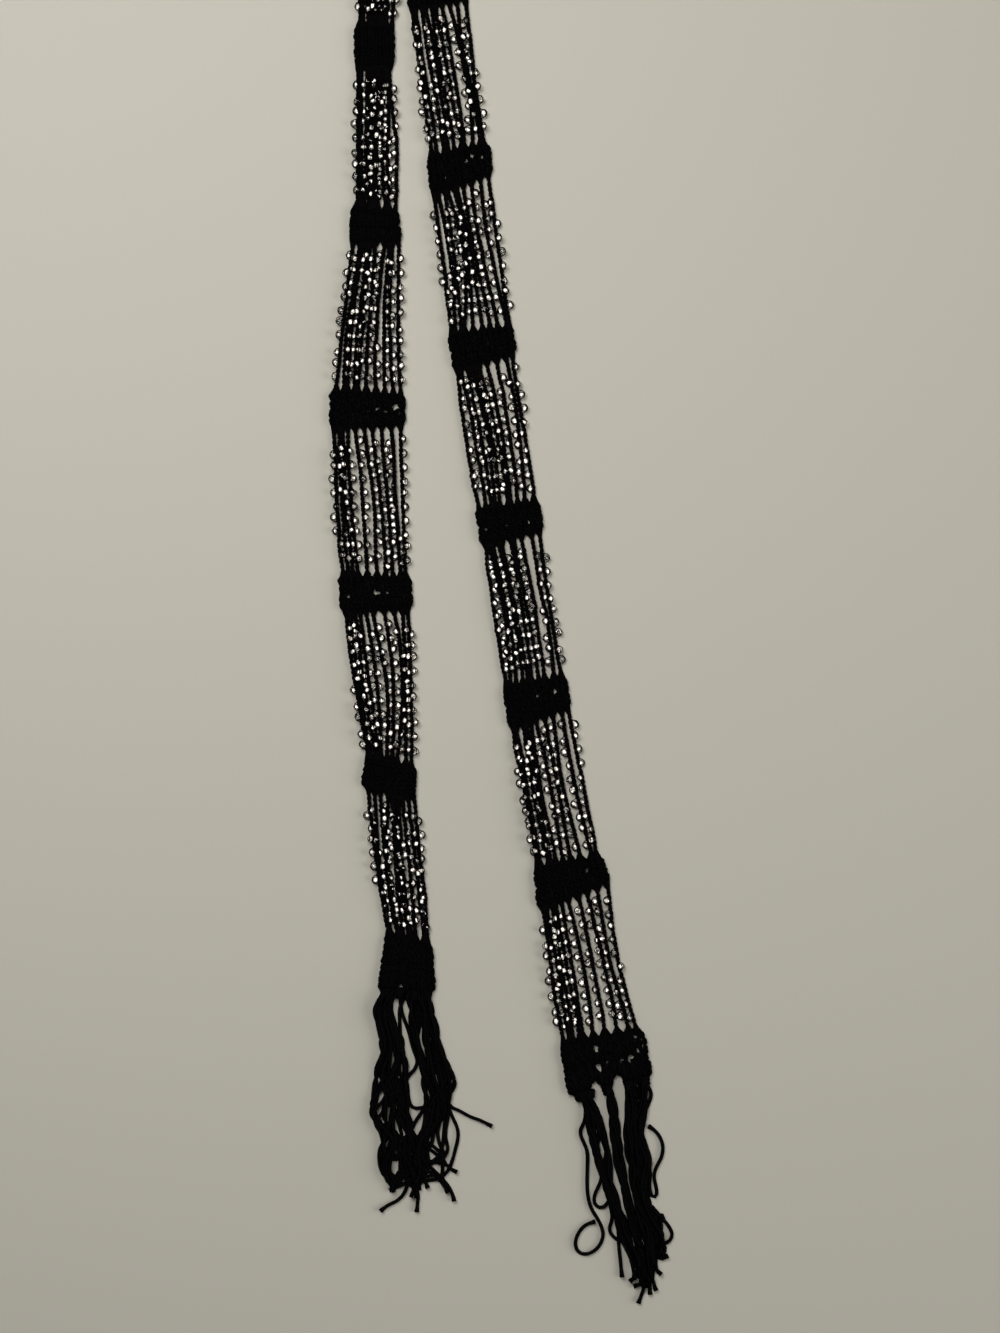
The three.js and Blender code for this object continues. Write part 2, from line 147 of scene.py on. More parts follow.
def distances(way: np.ndarray) -> np.ndarray:
    """How far along a way, or along each way of a batch, its points are."""
    steps = np.linalg.norm(np.diff(way, axis=-2), axis=-1)
    return np.concatenate([np.zeros_like(steps[..., :1]), np.cumsum(steps, -1)], -1)


def sampled(values: np.ndarray, along: np.ndarray, at: np.ndarray) -> np.ndarray:
    """Values known at distances along a way, one row each, read off at other distances."""
    return np.stack([np.interp(at, along, column) for column in values.T], -1)


def resampled(way: np.ndarray, count: int) -> np.ndarray:
    """A way with its points moved to count even places."""
    along = distances(way)
    return sampled(way, along, np.linspace(0, along[-1], count))


def smooth_way(places: np.ndarray, step: float) -> np.ndarray:
    """A smooth curve through places, with points at even steps.

    Args:
        places: The places that the curve passes, in order.
        step: The distance between the points of the result.

    Returns:
        The points along the curve.
    """
    points = np.asarray(places, float)
    ends = np.vstack([2 * points[0] - points[1], points, 2 * points[-1] - points[-2]])
    t = np.linspace(0, 1, 9)[:-1, None]
    spans = []
    for a, b, c, d in zip(ends, ends[1:], ends[2:], ends[3:]):
        cubic = (3 * b - a - 3 * c + d) * t**3
        spans.append(0.5 * (2 * b + (c - a) * t + (2 * a - 5 * b + 4 * c - d) * t**2 + cubic))
    dense = np.vstack([*spans, points[-1:]])
    return resampled(dense, max(4, round(way_length(dense) / step) + 1))


def wander(rng: np.random.Generator, count: int, points: int, waves: int) -> np.ndarray:
    """Slow random swings from -1 to 1, a row for each of count ways, still at both ends."""
    t = np.linspace(0, 1, points)
    total = np.zeros((count, points))
    for wave in range(1, waves + 1):
        total += rng.normal(0, 1 / wave, (count, 1)) * np.sin(np.pi * wave * t)
    return total / np.maximum(np.abs(total).max(), 1e-9)


def spokes(right: np.ndarray, above: np.ndarray, sides: int) -> np.ndarray:
    """Directions all round, as many as sides, that start at right and turn by way of above."""
    angles = 2 * np.pi * np.arange(sides)[:, None] / sides
    return np.cos(angles) * right[..., None, :] + np.sin(angles) * above[..., None, :]


def ring_faces(batch: int, rings: int, sides: int, spans: int) -> np.ndarray:
    """The corners of the faces between neighbouring rings of points.

    Args:
        batch: How many tubes there are.
        rings: How many rings a tube has.
        sides: How many points a ring has.
        spans: How many neighbours are joined; with as many as rings, the last one joins the first.

    Returns:
        The corners, batch by spans by sides by 4.
    """
    b, i, k = np.meshgrid(np.arange(batch), np.arange(spans), np.arange(sides), indexing="ij")
    here = (b * rings + i) * sides
    there = (b * rings + (i + 1) % rings) * sides
    following = (k + 1) % sides
    return np.stack([here + k, here + following, there + following, there + k], -1)


def placed(name: str, data: bpy.types.ID) -> bpy.types.Object:
    """A new object of this data, in the scene."""
    item = bpy.data.objects.new(name, data)
    bpy.context.scene.collection.objects.link(item)
    return item


@dataclass
class Faces:
    """Faces with the same number of corners: their corners, UVs in millimetres and finish."""

    corners: np.ndarray
    uvs: np.ndarray
    finish: int


class PieceMesh:
    """Collects parts in millimetres and turns them into one Blender object."""

    def __init__(self) -> None:
        """Starts with no parts."""
        self.vertices: list[np.ndarray] = []
        self.faces: list[Faces] = []
        self.count = 0

    def add(self, vertices: np.ndarray, corners: np.ndarray, uvs: np.ndarray | None = None) -> None:
        """Adds a part whose corner numbers count from its own first vertex."""
        self.vertices.append(vertices)
        self.count += len(vertices)
        self.add_faces(corners, uvs)

    def add_faces(self, corners: np.ndarray, uvs: np.ndarray | None = None, finish: int = 0) -> None:
        """Adds faces to the part that was added last."""
        blank = np.zeros((*corners.shape, 2))
        first = self.count - len(self.vertices[-1])
        self.faces.append(Faces(corners + first, blank if uvs is None else uvs, finish))

    def tubes(self, ways: np.ndarray, radii: np.ndarray | float, sides: int) -> None:
        """Adds round yarn along a batch of ways that have the same number of points.

        Args:
            ways: The ways, batch by points by 3.
            radii: The yarn's radius, one number, or one for each point.
            sides: How many sides a section has.
        """
        batch, points, _ = ways.shape
        radii = np.broadcast_to(np.asarray(radii, float), (batch, points))
        tangents = unit(np.gradient(ways, axis=1))
        across = np.cross(tangents[:, 0], UP)
        across[np.linalg.norm(across, axis=1) < 0.05] = (1, 0, 0)
        across = unit(across)
        normals = np.empty_like(ways)
        for i in range(points):
            across = unit(across - (across * tangents[:, i]).sum(1, keepdims=True) * tangents[:, i])
            normals[:, i] = across
        ring = spokes(normals, np.cross(tangents, normals), sides)
        vertices = ways[:, :, None] + radii[:, :, None, None] * ring
        faces = ring_faces(batch, points, sides, points - 1)
        side = np.broadcast_to(np.arange(sides), faces.shape[:3])
        girth = (radii.mean(1) * 2 * np.pi)[:, None, None, None] / sides
        along = distances(ways)[:, :, None]
        before = np.broadcast_to(along[:, :-1], side.shape)
        after = np.broadcast_to(along[:, 1:], side.shape)
        round_it = np.stack([side, side + 1, side + 1, side], -1) * girth
        uvs = np.stack([round_it, np.stack([before, before, after, after], -1)], -1)
        self.add(vertices.reshape(-1, 3), faces.reshape(-1, 4), uvs.reshape(-1, 4, 2))
        starts = (np.arange(batch) * points * sides)[:, None]
        turn = np.arange(sides)
        self.add_faces(np.concatenate([starts + turn[::-1], starts + (points - 1) * sides + turn]))

    def build(self, name: str, finishes: list[bpy.types.Material], slot: Slot) -> bpy.types.Object:
        """Makes the Blender object, in metres in the frame, riding on the body.

        Args:
            name: The piece's name.
            finishes: Its materials, in the order of the parts' finish numbers.
            slot: The record's material slot for the piece; not used.

        Returns:
            The object.
        """
        mesh = bpy.data.meshes.new(name)
        points = np.concatenate(self.vertices) * MM
        mesh.vertices.add(len(points))
        mesh.vertices.foreach_set("co", points.ravel())
        sizes = np.concatenate([np.full(len(f.corners), f.corners.shape[1]) for f in self.faces])
        numbers = np.concatenate([np.full(len(f.corners), f.finish) for f in self.faces])
        mesh.loops.add(int(sizes.sum()))
        mesh.loops.foreach_set("vertex_index", np.concatenate([f.corners.ravel() for f in self.faces]))
        mesh.polygons.add(len(sizes))
        mesh.polygons.foreach_set("loop_start", np.concatenate([[0], np.cumsum(sizes)[:-1]]))
        mesh.polygons.foreach_set("material_index", numbers)
        layer = mesh.uv_layers.new(name="millimetres")
        layer.data.foreach_set("uv", np.concatenate([f.uvs.reshape(-1) for f in self.faces]))
        for finish in finishes:
            mesh.materials.append(finish)
        mesh.update(calc_edges=True)
        mesh.validate()
        mesh.shade_smooth()
        piece = placed(name, mesh)
        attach(piece, BODY)
        LOG.info("%s: %d triangles", name, (sizes - 2).sum())
        return piece


def linear(colour: str) -> tuple[float, float, float, float]:
    """An sRGB hex colour as linear red, green, blue and alpha."""
    parts = [int(colour[i : i + 2], 16) / 255 for i in (0, 2, 4)]
    red, green, blue = [c / 12.92 if c <= 0.04045 else ((c + 0.055) / 1.055) ** 2.4 for c in parts]
    return red, green, blue, 1.0


def add_node(
    tree: bpy.types.NodeTree, kind: str, feeds: dict[str | int, object] | None = None, **settings: object
) -> bpy.types.Node:
    """Adds a node.

    Args:
        tree: The material's node tree.
        kind: The node's type, without the word that all shader nodes' types start with.
        feeds: For each input, the socket that feeds it or its value.
        settings: The node's own properties.

    Returns:
        The node.
    """
    node = tree.nodes.new("ShaderNode" + kind)
    for key, value in settings.items():
        setattr(node, key, value)
    for key, value in (feeds or {}).items():
        if isinstance(value, bpy.types.NodeSocket):
            tree.links.new(value, node.inputs[key])
        else:
            node.inputs[key].default_value = value
    return node


@dataclass(frozen=True)
class Finish:
    """A real material, drawn by one physically based shader."""

    name: str

    def feeds(self, tree: bpy.types.NodeTree) -> dict[str, object]:
        """What feeds the shader: each finish gives its own."""
        raise NotImplementedError

    def material(self) -> bpy.types.Material:
        """The finish as a Blender material."""
        material = bpy.data.materials.new(self.name)
        material.use_nodes = True
        tree = material.node_tree
        tree.nodes.clear()
        shader = add_node(tree, "BsdfPrincipled", self.feeds(tree))
        add_node(tree, "OutputMaterial", {"Surface": shader.outputs[0]})
        return material


@dataclass(frozen=True)
class ViscoseYarn(Finish):
    """Twisted black viscose yarn: it swallows the light, but for a faint painted highlight where its plies
    turn.
    """

    shadow: str = "020202"
    light: str = "0A0809"
    roughness: float = 0.55
    gloss: float = 0.008
    plies: float = 3.0
    girth: float = 5.8  # millimetres round the yarn
    twist: float = 8.4  # millimetres along the yarn for one whole turn of a ply

    def feeds(self, tree: bpy.types.NodeTree) -> dict[str, object]:
        """Plies from the UVs, and fibres from fine noise along them."""
        uv = add_node(tree, "UVMap", uv_map="millimetres").outputs["UV"]
        parts = add_node(tree, "SeparateXYZ", {"Vector": uv}).outputs
        turn = 2 * math.pi * self.plies / self.girth
        rise = 2 * math.pi * self.plies / self.twist
        around = add_node(tree, "Math", {0: parts["X"], 1: turn}, operation="MULTIPLY").outputs[0]
        along = add_node(tree, "Math", {0: parts["Y"], 1: rise}, operation="MULTIPLY").outputs[0]
        phase = add_node(tree, "Math", {0: around, 1: along}, operation="ADD").outputs[0]
        wave = add_node(tree, "Math", {0: phase}, operation="SINE").outputs[0]
        ply = add_node(tree, "MapRange", {"Value": wave, "From Min": -1.0, "From Max": 0.6}).outputs[0]
        slant = add_node(tree, "Mapping", {"Vector": uv, "Scale": (5.0, 0.8, 1.0), "Rotation": (0, 0, 0.7)})
        strands = {"Vector": slant.outputs[0], "Scale": 1.6, "Detail": 3.0}
        fibre = add_node(tree, "TexNoise", strands).outputs[0]
        # Painted highlight on the plies' crests and painted shade in the grooves between them, broken by
        # fibres of random tone
        lit = add_node(tree, "Math", {0: ply, 1: fibre}, operation="MULTIPLY").outputs[0]
        tones = {"Factor": lit, "A": linear(self.shadow), "B": linear(self.light)}
        colour = add_node(tree, "Mix", tones, data_type="RGBA").outputs["Result"]
        fuzz = add_node(tree, "Math", {0: fibre, 1: 0.35}, operation="MULTIPLY").outputs[0]
        relief = add_node(tree, "Math", {0: ply, 1: fuzz}, operation="ADD").outputs[0]
        bump = add_node(tree, "Bump", {"Height": relief, "Strength": 0.6, "Distance": 0.00022}).outputs[0]
        span = {"Value": fibre, "To Min": self.roughness - 0.08, "To Max": self.roughness + 0.12}
        rough = add_node(tree, "MapRange", span).outputs[0]
        return {"Base Color": colour, "Roughness": rough, "Normal": bump, "Specular IOR Level": self.gloss}


@dataclass(frozen=True)
class DrawnGlass(Finish):
    """Clear drawn glass, fire-polished: see-through in the middle, with painted shade, a dark tint, where
    its wall turns away from the view.
    """

    name: str = "clear_drawn_glass"
    tint: str = "FDFBF8"
    # rim: painted shade, the dark tint the glass takes where it turns away from the view
    rim: str = "020202"
    rim_shade_start: float = 0.12
    rim_shade_full: float = 0.36
    roughness: float = 0.02
    ior: float = 1.51

    def feeds(self, tree: bpy.types.NodeTree) -> dict[str, object]:
        """A slightly uneven surface, and painted shade: the tint goes dark where the surface grazes the
        view.
        """
        # Painted shade: the tint darkens towards the bead's outline as its surface turns from the view
        facing = add_node(tree, "LayerWeight", {"Blend": 0.5}).outputs["Facing"]
        span = {"Value": facing, "From Min": self.rim_shade_start, "From Max": self.rim_shade_full}
        depth = add_node(tree, "MapRange", span, interpolation_type="SMOOTHSTEP").outputs[0]
        tones = {"Factor": depth, "A": linear(self.tint), "B": linear(self.rim)}
        colour = add_node(tree, "Mix", tones, data_type="RGBA").outputs["Result"]
        place = add_node(tree, "TexCoord").outputs["Object"]
        waves = add_node(tree, "TexNoise", {"Vector": place, "Scale": 420.0, "Detail": 1.0}).outputs[0]
        bump = add_node(tree, "Bump", {"Height": waves, "Strength": 0.4, "Distance": 0.0004}).outputs[0]
        clear = {"Roughness": self.roughness, "IOR": self.ior, "Transmission Weight": 1.0}
        return {"Base Color": colour, "Normal": bump, **clear}


@dataclass(frozen=True)
class SilverLining(Finish):
    """Mirror silver in a bead's hole: it throws the light back, so the bead's core shines white."""

    name: str = "silver_lined_hole"
    colour: str = "FEF8F0"
    tarnish: str = "6E6A62"
    roughness: float = 0.4
    mirror: float = 0.5

    def feeds(self, tree: bpy.types.NodeTree) -> dict[str, object]:
        """Metal with a slightly cloudy deposit, gone dull in some beads."""
        place = add_node(tree, "TexCoord").outputs["Object"]
        patches = add_node(tree, "TexNoise", {"Vector": place, "Scale": 160.0, "Detail": 1.0}).outputs[0]
        bright = add_node(tree, "MapRange", {"Value": patches, "From Min": 0.36, "From Max": 0.5}).outputs[0]
        tones = {"Factor": bright, "A": linear(self.tarnish), "B": linear(self.colour)}
        colour = add_node(tree, "Mix", tones, data_type="RGBA").outputs["Result"]
        cloud = add_node(tree, "TexNoise", {"Vector": place, "Scale": 900.0, "Detail": 2.0}).outputs[0]
        span = {"Value": cloud, "To Min": self.roughness - 0.1, "To Max": self.roughness + 0.15}
        rough = add_node(tree, "MapRange", span).outputs[0]
        return {"Base Color": colour, "Metallic": self.mirror, "Roughness": rough}


@dataclass(frozen=True)
class MattPaper(Finish):
    """Matt warm grey paper on the table: no gloss, a faint tooth."""

    name: str = "matt_paper"
    colour: str = "D3CFC2"

    def feeds(self, tree: bpy.types.NodeTree) -> dict[str, object]:
        """Paper with a soft tooth of fibres."""
        place = add_node(tree, "TexCoord").outputs["Object"]
        tooth = add_node(tree, "TexNoise", {"Vector": place, "Scale": 260.0, "Detail": 4.0}).outputs[0]
        bump = add_node(tree, "Bump", {"Height": tooth, "Strength": 0.05, "Distance": 0.0005}).outputs[0]
        matt = {"Roughness": 0.92, "Specular IOR Level": 0.2}
        return {"Base Color": linear(self.colour), "Normal": bump, **matt}


class Wardrobe:
    """The scarf's finishes, each made once."""

    def __init__(self) -> None:
        """Makes the materials."""
        self.band = ViscoseYarn("crocheted_viscose").material()
        self.cord = ViscoseYarn("chained_viscose", light="0D0809", girth=3.0, twist=4.8).material()
        self.fringe = ViscoseYarn("twisted_viscose").material()
        self.glass = DrawnGlass().material()
        self.lining = SilverLining().material()


@dataclass(frozen=True)
class Side:
    """A band's far side, with end 1, or its near side, with end -1: its left and right corners."""

    left: np.ndarray
    right: np.ndarray
    end: int

    @property
    def width(self) -> float:
        """The side's length."""
        return float(np.linalg.norm(self.right - self.left))

    @property
    def direction(self) -> np.ndarray:
        """The direction from its left to its right corner."""
        return unit(self.right - self.left)

    @property
    def out(self) -> np.ndarray:
        """The direction out of the band."""
        x, y = self.direction
        return np.array([-y, x]) * self.end

    def place(self, share: np.ndarray | float, distance: float) -> np.ndarray:
        """A place along the side, so far out from the band."""
        share = np.asarray(share, float)[..., None]
        return self.left + (self.right - self.left) * share + self.out * distance


@dataclass(frozen=True)
class BandShape:
    """A band's corners on the table: near left and right, then far left and right."""

    corners: np.ndarray

    @classmethod
    def from_node(cls, node: str) -> "BandShape":
        """Reads the corners off a packed band, as its points that lie furthest out."""
        points = node_points(node)[:, :2]
        ways = np.array([(-1, -1), (1, -1), (-1, 1), (1, 1)]) / (points.max(0) - points.min(0))
        corners = np.array([points[np.argmax(points @ way)] for way in ways])
        ahead = unit(corners[2] + corners[3] - corners[0] - corners[1])
        back = np.array(DRAWN_BACK.get(int(node[-2:]), (0.0, 0.0, 0.0, 0.0)))
        inward = np.array([1, 1, -1, -1])
        return cls(corners + ahead * back[:, None] * inward[:, None])

    def side(self, end: int) -> Side:
        """The far side for end 1, the near side for end -1."""
        left, right = self.corners[2:] if end > 0 else self.corners[:2]
        return Side(left, right, end)

    def place(self, across: np.ndarray, along: np.ndarray) -> np.ndarray:
        """The table place at shares across the band and along it."""
        across = np.asarray(across, float)[..., None]
        along = np.asarray(along, float)[..., None]
        near_left, near_right, far_left, far_right = self.corners
        near = near_left + (near_right - near_left) * across
        far = far_left + (far_right - far_left) * across
        return near + (far - near) * along

    @property
    def width(self) -> float:
        """The mean width."""
        return (self.side(1).width + self.side(-1).width) / 2

    @property
    def length(self) -> float:
        """The mean length along the scarf."""
        near_left, near_right, far_left, far_right = self.corners
        return float(np.linalg.norm(far_left + far_right - near_left - near_right) / 2)


class ScarfPlan:
    """Where everything lies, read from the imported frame."""

    def __init__(self) -> None:
        """Reads the bands and the height of the upper tail."""
        names = sorted(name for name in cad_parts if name.startswith("band_"))
        self.bands = [BandShape.from_node(name) for name in names]
        self.lift = float(node_points(names[FOLDED_PANEL])[:, 2].min())

    def lower_edge(self, y: np.ndarray) -> np.ndarray:
        """The lower tail's right edge at a height y."""
        lower = self.bands[:FOLDED_PANEL]
        middles = [band.corners.mean(0) for band in lower]
        edge = [middle[0] + band.side(-1).width / 2 for band, middle in zip(lower, middles)]
        return np.interp(y, [middle[1] for middle in middles], edge)

    def drape(self, place: np.ndarray) -> np.ndarray:
        """The height of the upper tail's underside."""
        x = place[..., 0]
        y = place[..., 1]
        beside = (x - self.lower_edge(y) - DRAPE_MARGIN) / DRAPE_REACH
        climb = np.array(DRAPE_CLIMB) + SHIFT[1]
        hold = np.array(DRAPE_HOLD) + SHIFT[1]
        resting = (1 - smoothstep(beside, 0, 1)) * smoothstep(y, *climb)
        return self.lift * np.maximum(resting, smoothstep(y, *hold))

    def under(self, place: np.ndarray, upper: bool) -> np.ndarray:
        """The height of what lies under a place of the lower or the upper tail."""
        return self.drape(place) if upper else np.zeros(place.shape[:-1])


def close_pairs(points: np.ndarray, reach: float, owner: np.ndarray) -> tuple[np.ndarray, np.ndarray]:
    """The pairs of points of different owners within reach of each other."""
    low = []
    high = []
    for i in range(len(points) - 1):
        gap = points[i + 1 :] - points[i]
        close = np.flatnonzero(((gap * gap).sum(1) < reach * reach) & (owner[i + 1 :] != owner[i])) + i + 1
        low.append(np.full(len(close), i))
        high.append(close)
    return np.concatenate(low), np.concatenate(high)


def push_apart(
    points: np.ndarray, low: np.ndarray, high: np.ndarray, reach: np.ndarray | float, sideways: float = 1.0
) -> None:
    """Moves the points of each pair that lies too close away from each other.

    Args:
        points: The points, which are moved.
        low: The number of each pair's first point.
        high: The number of its second point.
        reach: How far apart the two want to be.
        sideways: The share of the step that they take along the table.
    """
    gap = points[high] - points[low]
    away = np.maximum(np.linalg.norm(gap, axis=1), 1e-6)
    overlap = np.clip(reach - away, 0, None)
    push = gap / away[:, None] * (overlap * 0.4)[:, None]
    push[:, :2] *= sideways
    np.add.at(points, high, push)
    np.add.at(points, low, -push)


@dataclass
class Settling:
    """Lets cords and beads push each other apart and come to rest on what is under them."""

    steps: int = 60
    pull: float = 0.12  # how firmly a cord keeps to its place
    cord_radius: float = CORD_RADIUS - 0.35  # yarn gives way where it is pressed
    bead_radius: float = BEAD_RADIUS - 0.45
    stiffness: float = 0.35
    hold: float = 0.25  # how firmly a bead keeps to its side of the cord
    press: float = 0.3  # how much further from the table than from each other they keep
    sink: float = 0.12  # how far a cord sinks in a step; a bead sinks half as far
    refresh: int = 6  # for how many steps the pairs that were close are kept
    margin: float = 1.2  # how far beyond touching a pair counts as close

    def run(
        self,
        cords: np.ndarray,
        beads: np.ndarray,
        anchors: np.ndarray,
        floor: Callable[[np.ndarray], np.ndarray],
        roof: Callable[[np.ndarray], np.ndarray],
    ) -> tuple[np.ndarray, np.ndarray]:
        """Settles the cords and beads.

        Args:
            cords: The cords' ways, cords by points by 3; their ends stay.
            beads: The beads' middles.
            anchors: For each bead, the cord and the point that it hangs at.
            floor: Gives the height of what is under each of some places.
            roof: Gives the height of what is over them.

        Returns:
            The cords' ways and the beads' middles at rest.
        """
        count, nodes, _ = cords.shape
        target = cords.copy()
        held = tuple(anchors.T)
        radius = np.repeat([self.cord_radius, self.bead_radius], [count * nodes, len(beads)])
        owner = np.concatenate([np.repeat(np.arange(count), nodes), count + np.arange(len(beads))])
        home = beads - cords[held]
        for step in range(self.steps):
            cords += (target - cords) * self.pull
            cords[:, 1:-1] += self.stiffness * ((cords[:, :-2] + cords[:, 2:]) / 2 - cords[:, 1:-1])
            cords[:, 1:-1, 2] -= self.sink
            beads[:, 2] -= self.sink / 2
            beads += (cords[held] + home - beads) * self.hold
            points = np.concatenate([cords.reshape(-1, 3), beads])
            if step % self.refresh == 0:
                low, high = close_pairs(points, 2 * self.bead_radius + self.margin, owner)
            push_apart(points, low, high, radius[low] + radius[high])
            points[:, 2] = np.minimum(points[:, 2], roof(points) - radius)
            points[:, 2] = np.maximum(points[:, 2], floor(points) + radius + self.press)
            cords = points[: count * nodes].reshape(count, nodes, 3)
            beads = points[count * nodes :]
            cords[:, [0, -1]] = target[:, [0, -1]]
        return cords, beads

    def run_strands(self, ways: list[np.ndarray], fixed: int, flat: float) -> list[np.ndarray]:
        """Settles loose strands of different lengths on the table.

        Args:
            ways: The strands' ways.
            fixed: How many points at the start of each stay where they are.
            flat: The share of a push that moves them along the table.

        Returns:
            The ways at rest.
        """
        lengths = np.array([len(way) for way in ways])
        points = np.concatenate(ways)
        target = points.copy()
        owner = np.repeat(np.arange(len(ways)), lengths)
        place = np.concatenate([np.arange(length) for length in lengths])
        first = place < fixed
        inner = (place > 0) & (place < lengths[owner] - 1)
        for step in range(self.steps):
            points += (target - points) * self.pull
            middle = (np.roll(points, 1, 0) + np.roll(points, -1, 0)) / 2
            points[inner] += self.stiffness * (middle - points)[inner]
            points[:, 2] -= self.sink
            if step % self.refresh == 0:
                low, high = close_pairs(points, 2 * YARN_RADIUS + self.margin, owner)
                loose = ~(first[low] & first[high])
                low = low[loose]
                high = high[loose]
            push_apart(points, low, high, 2 * self.cord_radius, flat)
            points[:, 2] = np.maximum(points[:, 2], YARN_RADIUS)
            points[first] = target[first]
        return np.split(points, np.cumsum(lengths)[:-1])


@dataclass(frozen=True)
class ChainStitch:
    """Chain stitches of yarn: each is two legs in a V, tucked under the next V."""

    length: float = STITCH
    spread: float = 0.64
    yarn: float = 0.53
    rise: float = 0.42
    sides: int = 5
    ahead: float = 0.06  # how far the right leg lies ahead of the left one, in stitches, halved
    opening: float = 2.4  # how far from its ends a cord's stitches are wider
    # A leg's points: along, in stitches; across, in spreads; up, in rises; and thickness, in yarns
    leg: tuple[tuple[float, float, float, float], ...] = (
        (-0.1, 0.1, -0.9, 0.8),
        (0.28, 0.95, 0.6, 1.0),
        (0.7, 0.95, 1.0, 1.0),
        (1.2, 0.05, -0.4, 0.7),
    )

    def add_to(
        self,
        piece: PieceMesh,
        way: np.ndarray,
        root: float = 0.0,
        core: float = 0.85,
        backs: PieceMesh | None = None,
    ) -> None:
        """Adds a chain along a way.

        Args:
            piece: The mesh that takes the stitches.
            way: The cord's middle line.
            root: How much wider the stitches are at the two ends.
            core: The radius of the loops' backs, under the legs.
            backs: The mesh that takes the backs, where it isn't the same one.
        """
        along = distances(way)
        total = along[-1]
        count = max(2, round(total / self.length))
        tangents = unit(np.gradient(way, axis=0))
        rights = np.cross(tangents, UP)
        rights[np.linalg.norm(rights, axis=1) < 0.25] = (1, 0, 0)
        rights = unit(rights)
        ups = np.cross(rights, tangents)
        forward, aside, above, thickness = np.array(self.leg).T
        hand = np.array([[-1.0], [1.0]])
        at = (np.arange(count)[:, None, None] + forward + self.ahead * hand) * (total / count)
        at = np.clip(at, 0, total)
        wider = 1 + root * (np.exp(-at / self.opening) + np.exp(-(total - at) / self.opening))
        across = (hand * aside * self.spread * wider)[..., None]
        raised = (above * self.rise)[:, None]
        legs = sampled(way, along, at) + sampled(rights, along, at) * across
        legs += sampled(ups, along, at) * raised
        piece.tubes(legs.reshape(-1, len(self.leg), 3), thickness * self.yarn, self.sides)
        back = resampled(way - ups * 0.3, count + 1)
        (backs or piece).tubes(back[None], core, self.sides)


@dataclass(frozen=True)
class Rocaille:
    """A rounded glass bead with a silver-lined hole."""

    radius: float = BEAD_RADIUS
    length: float = BEAD_LENGTH
    hole: float = 0.6
    lined: float = 0.74  # the lined share of the hole's length
    segments: int = 12
    # The section from the hole's end round the outside: out from the axis, as a share of the radius, and
    # along, as a share of half the length
    section: tuple[tuple[float, float], ...] = (
        (0.62, -1.0),
        (0.91, -0.72),
        (1.0, 0.0),
        (0.91, 0.72),
        (0.62, 1.0),
    )

    def add_to(self, piece: PieceMesh, middles: np.ndarray, axes: np.ndarray, sizes: np.ndarray) -> None:
        """Adds beads.

        Args:
            piece: The mesh that takes them.
            middles: The beads' middles.
            axes: The directions of their holes.
            sizes: Their sizes as shares of the usual one.
        """
        outside = [(self.radius * r, self.length / 2 * a) for r, a in self.section]
        hole_end = self.length / 2 * self.lined
        profile = np.array([*outside, (self.hole, hole_end), (self.hole, -hole_end)])[:, None]
        rings = len(profile)
        ahead = unit(axes)
        helper = np.where(np.abs(ahead[:, 2:3]) < 0.8, UP, [1.0, 0, 0])
        side = unit(np.cross(helper, ahead))
        ring = spokes(side, np.cross(ahead, side), self.segments)
        local = profile[..., :1] * ring[:, None] + profile[..., 1:] * ahead[:, None, None]
        vertices = middles[:, None, None] + local * sizes[:, None, None, None]
        faces = ring_faces(len(middles), rings, self.segments, rings)
        lining = rings - 2
        piece.add(vertices.reshape(-1, 3), np.delete(faces, lining, 1).reshape(-1, 4))
        piece.add_faces(faces[:, lining].reshape(-1, 4), finish=1)


@dataclass
class ScarfPiece:
    """A numbered piece of the scarf, counted from the left fringe."""

    number: int
    plan: ScarfPlan
    wardrobe: Wardrobe
    kind: ClassVar[str] = ""
    seed: ClassVar[int] = 0

    def draws(self) -> np.random.Generator:
        """The piece's own source of random numbers, the same in every run."""
        return np.random.default_rng(self.seed + self.number)

    @property
    def node(self) -> str:
        """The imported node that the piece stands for."""
        return f"{self.kind}_{self.number:02d}"

    @property
    def upper(self) -> bool:
        """Whether the piece is in the upper tail."""
        return self.number > FOLDED_PANEL


@dataclass(frozen=True)
class Spacing:
    """How a panel's cords stand side by side at one height.

    The gaps between neighbouring cords are digits, from left to right: a 9 is an open gap and a 2 is two
    cords that touch. The outermost cords' places are shares of the width between the bands' corners.
    """

    gaps: str = "545564565"
    first: float = 0.045
    last: float = 0.955

    def shares(self) -> np.ndarray:
        """The cords' places across the panel."""
        steps = np.array([0, *map(int, self.gaps)], float).cumsum()
        return self.first + (self.last - self.first) * steps / steps[-1]


@dataclass(frozen=True)
class PanelLie:
    """How a panel's cords and beads lie."""

    lower: Spacing = Spacing("455655654")
    middle: Spacing = Spacing()
    upper: Spacing = Spacing("546465455")
    covered: float = 0.12  # the share of the beads that have slipped under their cord
    # The parts of the length, from the lower end, in which the outermost cords' beads hang on the outside
    left_out: tuple[float, float] = (0.0, 1.0)
    right_out: tuple[float, float] = (0.0, 1.0)


